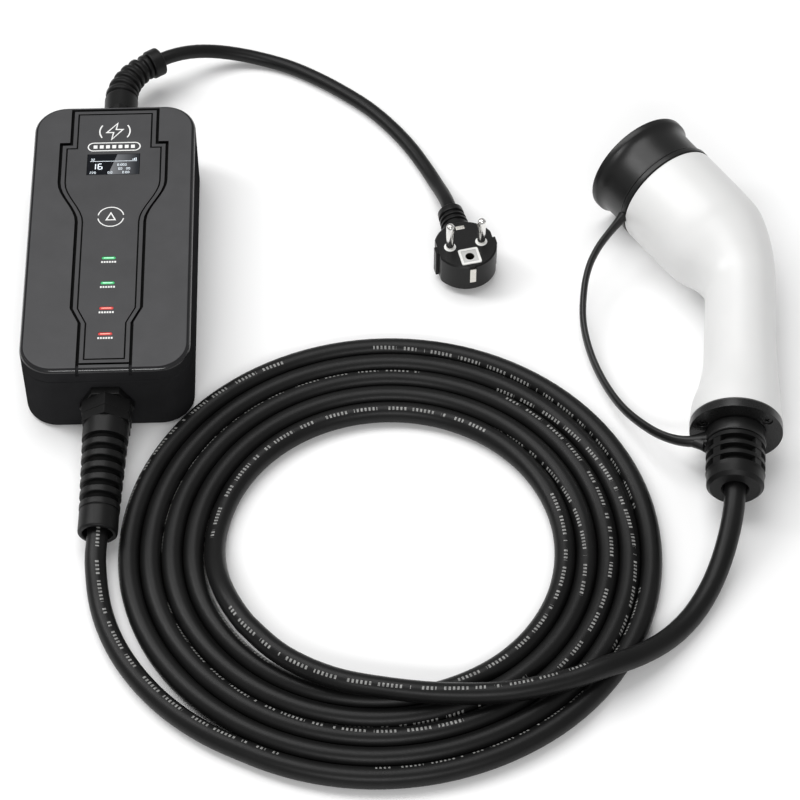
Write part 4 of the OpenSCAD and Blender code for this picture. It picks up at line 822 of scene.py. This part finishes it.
def input_relief():
    """Straight foot, ribs round the bend and a wider collar with an open mouth."""
    bend_l = IN_BEND_R * IN_BEND
    length = IN_TAIL_L + bend_l + IN_COLLAR_L
    ribs, rib_h, collar_r = 6, 1.8 * MM, IN_TAIL_R1 + 1.1 * MM
    foot = AT_INPUT @ moved(0, 0, TAIL_START)

    def section(along, r):
        a = min(max(along - IN_TAIL_L, 0) / IN_BEND_R, IN_BEND)
        ahead = Vector((math.sin(a), 0, math.cos(a)))
        centre = Vector((IN_BEND_R * (1 - math.cos(a)), 0, min(along, IN_TAIL_L) + IN_BEND_R * math.sin(a)))
        centre += ahead * max(along - IN_TAIL_L - bend_l, 0)
        return section_frame(foot @ centre, foot.to_3x3() @ ahead, r, r)

    sections = [section(along, IN_TAIL_R0) for along in (-1 * MM, 0, IN_TAIL_L - 0.5 * MM)]
    sections.append(section(IN_TAIL_L - 0.1 * MM, IN_TAIL_R0 - 0.3 * MM))
    step = bend_l / ribs
    for i in range(ribs):
        r = IN_TAIL_R0 + (IN_TAIL_R1 - IN_TAIL_R0) * (i + 0.5) / ribs
        for share, rise in (
                (0.02, 0), (0.1, 0), (0.2, 0.02), (0.28, 0.12), (0.34, 0.45), (0.38, 0.75), (0.44, 0.94),
                (0.52, 1), (0.7, 1), (0.82, 0.94), (0.89, 0.75), (0.93, 0.4), (0.97, 0.1)):
            sections.append(section(IN_TAIL_L + (i + share) * step, r - rib_h * (1 - rise)))
    start = length - IN_COLLAR_L
    for along, r in (
            (start, IN_TAIL_R1 - rib_h), (start + 0.1 * MM, collar_r - 0.5 * MM),
            (start + 0.5 * MM, collar_r - 0.1 * MM), (start + 1 * MM, collar_r), (length - 1 * MM, collar_r),
            (length - 0.3 * MM, collar_r - 0.3 * MM), (length, collar_r - 1 * MM),
            (length, IN_BORE_R + 0.8 * MM), (length - 0.6 * MM, IN_BORE_R + 0.3 * MM),
            (length - 5 * MM, IN_BORE_R)):
        sections.append(section(along, r))
    return swept(sections, 56)


def gland_boot(end, flats, bore_r, place, relief):
    nut = placed(gland_nut(flats, bore_r + 0.5 * MM), place @ moved(0, 0, FLANGE_T))
    boot = add_piece(end + "_boot", merged(nut, relief), BOOT_BLACK, [end + "_gland_boot"])
    return soft_edges(boot, 0.25 * MM)


def paint_slit_shade(boot):
    """Painted shade: the floors of the slits in the output relief, black, standing in for the shadow deep in
    the slits.
    """
    slits_from, slits_to, inside_r, lip = 8 * MM, 54 * MM, 8.5 * MM, 1 * MM
    boot.data.materials.append(PAINTED_RECESS_SHADE)
    to_tail = OUT_TAIL.inverted()
    for face in boot.data.polygons:
        spot = to_tail @ face.center
        ring_r = OUT_TAIL_R0 + (OUT_TAIL_R1 - OUT_TAIL_R0) * spot.z / OUT_TAIL_L
        if slits_from < spot.z < slits_to and inside_r < spot.xy.length < ring_r - lip:
            face.material_index = 1


def glands():
    for end in ("input", "output"):
        dressed(end + "_gland_body", GLAND_BLACK, 0.35 * MM)
    paint_slit_shade(gland_boot("output", OUT_FLATS, OUT_BORE_R, AT_OUTPUT, output_relief()))
    gland_boot("input", IN_FLATS, IN_BORE_R, AT_INPUT, input_relief())


# Mains plug

def mains_plug():
    body = dressed("plug_body", PLUG_BLACK, 0.5 * MM)
    pins = [dressed(node, PIN_METAL, 0) for node in ("line_pin", "neutral_pin")]
    collars = dressed("pin_collars", PLUG_WHITE, 0.2 * MM)
    insert = dressed("plug_face_insert", PLUG_WHITE, 0.2 * MM, corner_r=1.2 * MM)
    insert.data.materials.append(EARTH_HOLE_SHADE)
    insert.data.materials.append(INSERT_DISH_SHADE)
    white, black, grey = 0, 1, 2
    hole_r, hole_under, dish_from, dish_to = 2.7 * MM, 23 * MM, 24 * MM, 24.5 * MM
    earth = (AT_PLUG @ Vector((0, EARTH_Y, 0))).xy
    for face in insert.data.polygons:
        # Faces down inside the earth hole take the painted shade
        in_hole = (face.center.xy - earth).length < hole_r and face.center.z < hole_under
        # Faces of the shallow dish take the painted shade grey
        in_dish = dish_from < face.center.z < dish_to
        face.material_index = black if in_hole else grey if in_dish else white
    clip = dressed("plug_earth_clip", EARTH_METAL, 0.15 * MM)
    return [body, *pins, collars, insert, clip]


# Vehicle connector

def nose_station(t, half):
    n = Vector((math.cos(BEND), math.sin(BEND)))
    on_axis = Vector((0, HANDLE_L)) + t * Vector((-math.sin(BEND), math.cos(BEND)))
    return (*(on_axis - NOSE_R * n), *(on_axis + NOSE_R * n), half)


def handle_stations():
    """Sections of the handle: inner point, outer point and half height."""
    f, h, g, n, end = FLANGE_R, HANDLE_R, GRIP_IN_R, NOSE_R, HANDLE_L
    return [
        (-f, 0, f, 0, f),
        (MM - f, 12 * MM, f - 0.7 * MM, 12 * MM, f - MM),
        (-g - 2.4 * MM, 24 * MM, h + 3.2 * MM, 24 * MM, h + 2.4 * MM),
        (-g, 40 * MM, h + 2 * MM, 40 * MM, h + MM),
        (-g, end - 49 * MM, h + 0.8 * MM, end - 48 * MM, h + 0.6 * MM),
        (-g, end - 30 * MM, h + 0.4 * MM, end - 24 * MM, h + 0.8 * MM),
        (-g - MM, end - 20 * MM, h - 0.2 * MM, end - 2 * MM, h + 2 * MM),
        (-h - 5.5 * MM, end - 11.5 * MM, h - 2.8 * MM, end + 16 * MM, h + 5 * MM),
        (-n - 4.5 * MM, end - 5.2 * MM, h - 8 * MM, end + 34 * MM, n - 3.5 * MM),
        nose_station(30 * MM, n - MM),
        nose_station(NOSE_L - 17 * MM, n),
        nose_station(NOSE_L, n),
    ]


def between(keys, steps):
    """Smooth rows of numbers through the given rows."""
    rows = []
    for i in range(len(keys) - 1):
        a, b, c, d = keys[max(i - 1, 0)], keys[i], keys[i + 1], keys[min(i + 2, len(keys) - 1)]
        for k in range(steps):
            t = k / steps
            rows.append([0.5 * (2 * q + (r - p) * t + (2 * p - 5 * q + 4 * r - s) * t * t
                                + (3 * q - p - 3 * r + s) * t ** 3) for p, q, r, s in zip(a, b, c, d)])
    return rows + [list(keys[-1])]


def handle():
    sections = []
    for xi, yi, xo, yo, half in between(handle_stations(), 6):
        inner, outer = Vector((xi, yi, 0)), Vector((xo, yo, 0))
        across = (outer - inner) / 2
        ahead = Vector((-across.y, across.x, 0)).normalized()
        sections.append(AT_CONNECTOR @ from_columns(across, half * UP, ahead, (inner + outer) / 2))
    sections.pop()
    wall, mouth_depth = 3 * MM, 13 * MM
    for depth, r in (
            (0.9 * MM, NOSE_R), (0.3 * MM, NOSE_R - 0.2 * MM), (0, NOSE_R - 0.7 * MM), (0, NOSE_R - wall),
            (mouth_depth, NOSE_R - wall)):
        mouth = AT_BEND @ moved(0, NOSE_L - depth, 0) @ turned(-QUARTER, "X")
        sections.append(mouth @ Matrix.Diagonal((r, -r, 1, 1)))
    return add_piece("handle", swept(sections, 72), HANDLE_WHITE, ["handle_shell"],
                     smooth_angle=50)


def dust_cap():
    """A plain foot under a small bead, a late flare, a flat lip and a sunk face."""
    inner_r, foot, lip, lip_edge, face_t = 28.2 * MM, 5 * MM, 4.2 * MM, 0.7 * MM, 2.6 * MM
    profile = [(inner_r, 0), (CAP_R - 0.4 * MM, 0), (CAP_R, 0.4 * MM), (CAP_R, 3.9 * MM),
               (CAP_R + 0.35 * MM, 4.1 * MM), (CAP_R + 0.4 * MM, 4.4 * MM), (CAP_R + 0.3 * MM, 4.8 * MM),
               (CAP_R, foot)]
    flare_r, flare_l, flare_steps = RIM_R - 0.4 * MM - CAP_R, CAP_L - lip - foot, 28
    for k in range(1, flare_steps):
        t = k / flare_steps
        profile.append((CAP_R + flare_r * t ** 8, foot + flare_l * t))
    profile += [(RIM_R - 0.4 * MM, foot + flare_l), (RIM_R - 0.1 * MM, foot + flare_l + 0.5 * MM)]
    for k in range(7):
        a = QUARTER * k / 6
        profile.append((RIM_R - lip_edge + lip_edge * math.cos(a), CAP_L - lip_edge + lip_edge * math.sin(a)))
    profile += [(RIM_R - 3.4 * MM, CAP_L), (RIM_R - 3.8 * MM, CAP_L - 0.3 * MM),
                (RIM_R - 4.2 * MM, CAP_L - 0.8 * MM), (RIM_R - 5 * MM, CAP_L - MM), (0, CAP_L - MM),
                (0, CAP_L - face_t), (inner_r, CAP_L - face_t)]
    shape = placed(revolved(profile + profile[:1], 128), ON_NOSE @ moved(0, 0, 0.4 * MM))
    return add_piece("dust_cap_shell", shape, CAP_BLACK, ["dust_cap"], body="cap")


def rounded_ring(inner_r, outer_r, height, edge):
    """A band with softened edges round Z."""
    seam = (inner_r, height / 2, 0)
    corners = [(inner_r, 0), (outer_r, 0), (outer_r, height), (inner_r, height)]
    return revolved(smoothed_corners([seam] + [(r, z, edge) for r, z in corners] + [seam]), 96)


def tether():
    """A ring round the cap, a ring round the tail, the strap between them and a gusset at its root."""
    cap_band = rounded_ring(CAP_R + 0.4 * MM, CAP_R + 1.2 * MM, 3 * MM, 0.3 * MM)
    tail_band = rounded_ring(12.8 * MM, 16.8 * MM, 8 * MM, 1 * MM)
    placed(cap_band, ON_NOSE @ moved(0, 0, 0.6 * MM))
    placed(tail_band, ON_TAIL @ moved(0, 0, 0.2 * MM))
    head = ON_NOSE @ Vector((-CAP_R - 0.8 * MM, 0, 1.9 * MM))
    root = AT_CONNECTOR @ Vector((-14.8 * MM, -10.4 * MM, 0))
    line = curve_points([head, *STRAP_ROUTE, root], 3 * MM)
    web = curve_points([AT_CONNECTOR @ (MM * Vector(p)) for p in GUSSET_ROUTE], 1.5 * MM)
    strap_half, head_gain, root_gain, head_share, root_share = 2 * MM, 1.2 * MM, 2.6 * MM, 0.08, 0.16
    strap_high, gusset_high = 3.4 * MM, 3.2 * MM

    def strap_thick(share):
        at_head = max(0, 1 - share / head_share) ** 2
        at_root = max(0, 1 - (1 - share) / root_share) ** 2
        return strap_half + head_gain * at_head + root_gain * at_root

    def gusset_thick(share):
        return 1.4 * MM + 3.6 * MM * share ** 2.5

    strap = swept(path_frames(line, strap_thick, strap_high), 20)
    gusset = swept(path_frames(web, gusset_thick, gusset_high), 20)
    whole = merged(cap_band, tail_band, strap, gusset)
    piece = add_piece("cap_strap", whole, STRAP_BLACK, ["cap_tether"], body=None)
    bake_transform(piece)
    return piece


def connector():
    pieces = [handle(), dust_cap(), tether()]
    for node, finish, slot, width in (
            ("nose_shroud", CONNECTOR_BLACK, "connector_black", 0.4 * MM),
            ("contact_carrier", CONNECTOR_BLACK, "connector_black", 0.3 * MM),
            ("power_contacts", CONTACT_METAL, "contact_metal", 0.15 * MM),
            ("signal_contacts", CONTACT_METAL, "contact_metal", 0.1 * MM),
            ("tail_cover", CONNECTOR_BLACK, "connector_black", 0.9 * MM),
            ("tail_boot", BOOT_BLACK, "boot_black", 0.8 * MM),
            ("tail_screws", TAIL_SCREW, "screw_steel", 0.15 * MM)):
        pieces.append(dressed(node, finish, width))
    return pieces


add_camera()
add_world()
add_floor()
add_lamp("overhead", (-0.1, 0.4, 1.7), 1.4, 1.4, 16)
add_lamp("front", (0.1, -1.7, 1.3), 1.4, 0.3, 13)
add_lamp("left", (-0.9, 0.3, 1.2), 0.5, 0.9, 8)
bpy.context.scene.view_settings.view_transform = "Standard"

cable_path = charging_cable_points()
cord_path = mains_cord_points()
charging_cable = tube_piece("charging_cable", cable_path, CABLE_D, 20,
                            ["output_lead", "cable_coil", "connector_lead"])
mains_cord = tube_piece("mains_cord", cord_path, CORD_D, 16, ["input_cord"])

box_shell()
panel_print()
display()
indicators()
glands()
plug_pieces = mains_plug()
connector_pieces = connector()

INNER_FINISHES = {
    "cover_gasket": SEAL_RUBBER, "cover_screws": SCREW_STEEL, "display_module": COMPONENT_DARK,
    "touch_sensor": CONTACT_METAL, "indicator_board": CIRCUIT_GREEN, "circuit_board": CIRCUIT_GREEN,
    "power_relays": COMPONENT_DARK, "current_transformer": WINDING_AMBER, "supply_transformer": WINDING_AMBER,
    "terminal_blocks": TERMINAL_GREEN, "input_cores": CORE_BLUE, "output_cores": CORE_BROWN,
    "board_screws": SCREW_STEEL, "input_gland_locknut": GLAND_BLACK, "output_gland_locknut": GLAND_BLACK,
    "input_gland_seal": SEAL_RUBBER, "output_gland_seal": SEAL_RUBBER, "connector_cores": CORE_BROWN,
    "tail_gasket": SEAL_RUBBER,
}
for node, finish in INNER_FINISHES.items():
    frame["nodes"][node].data.materials.clear()
    frame["nodes"][node].data.materials.append(finish)
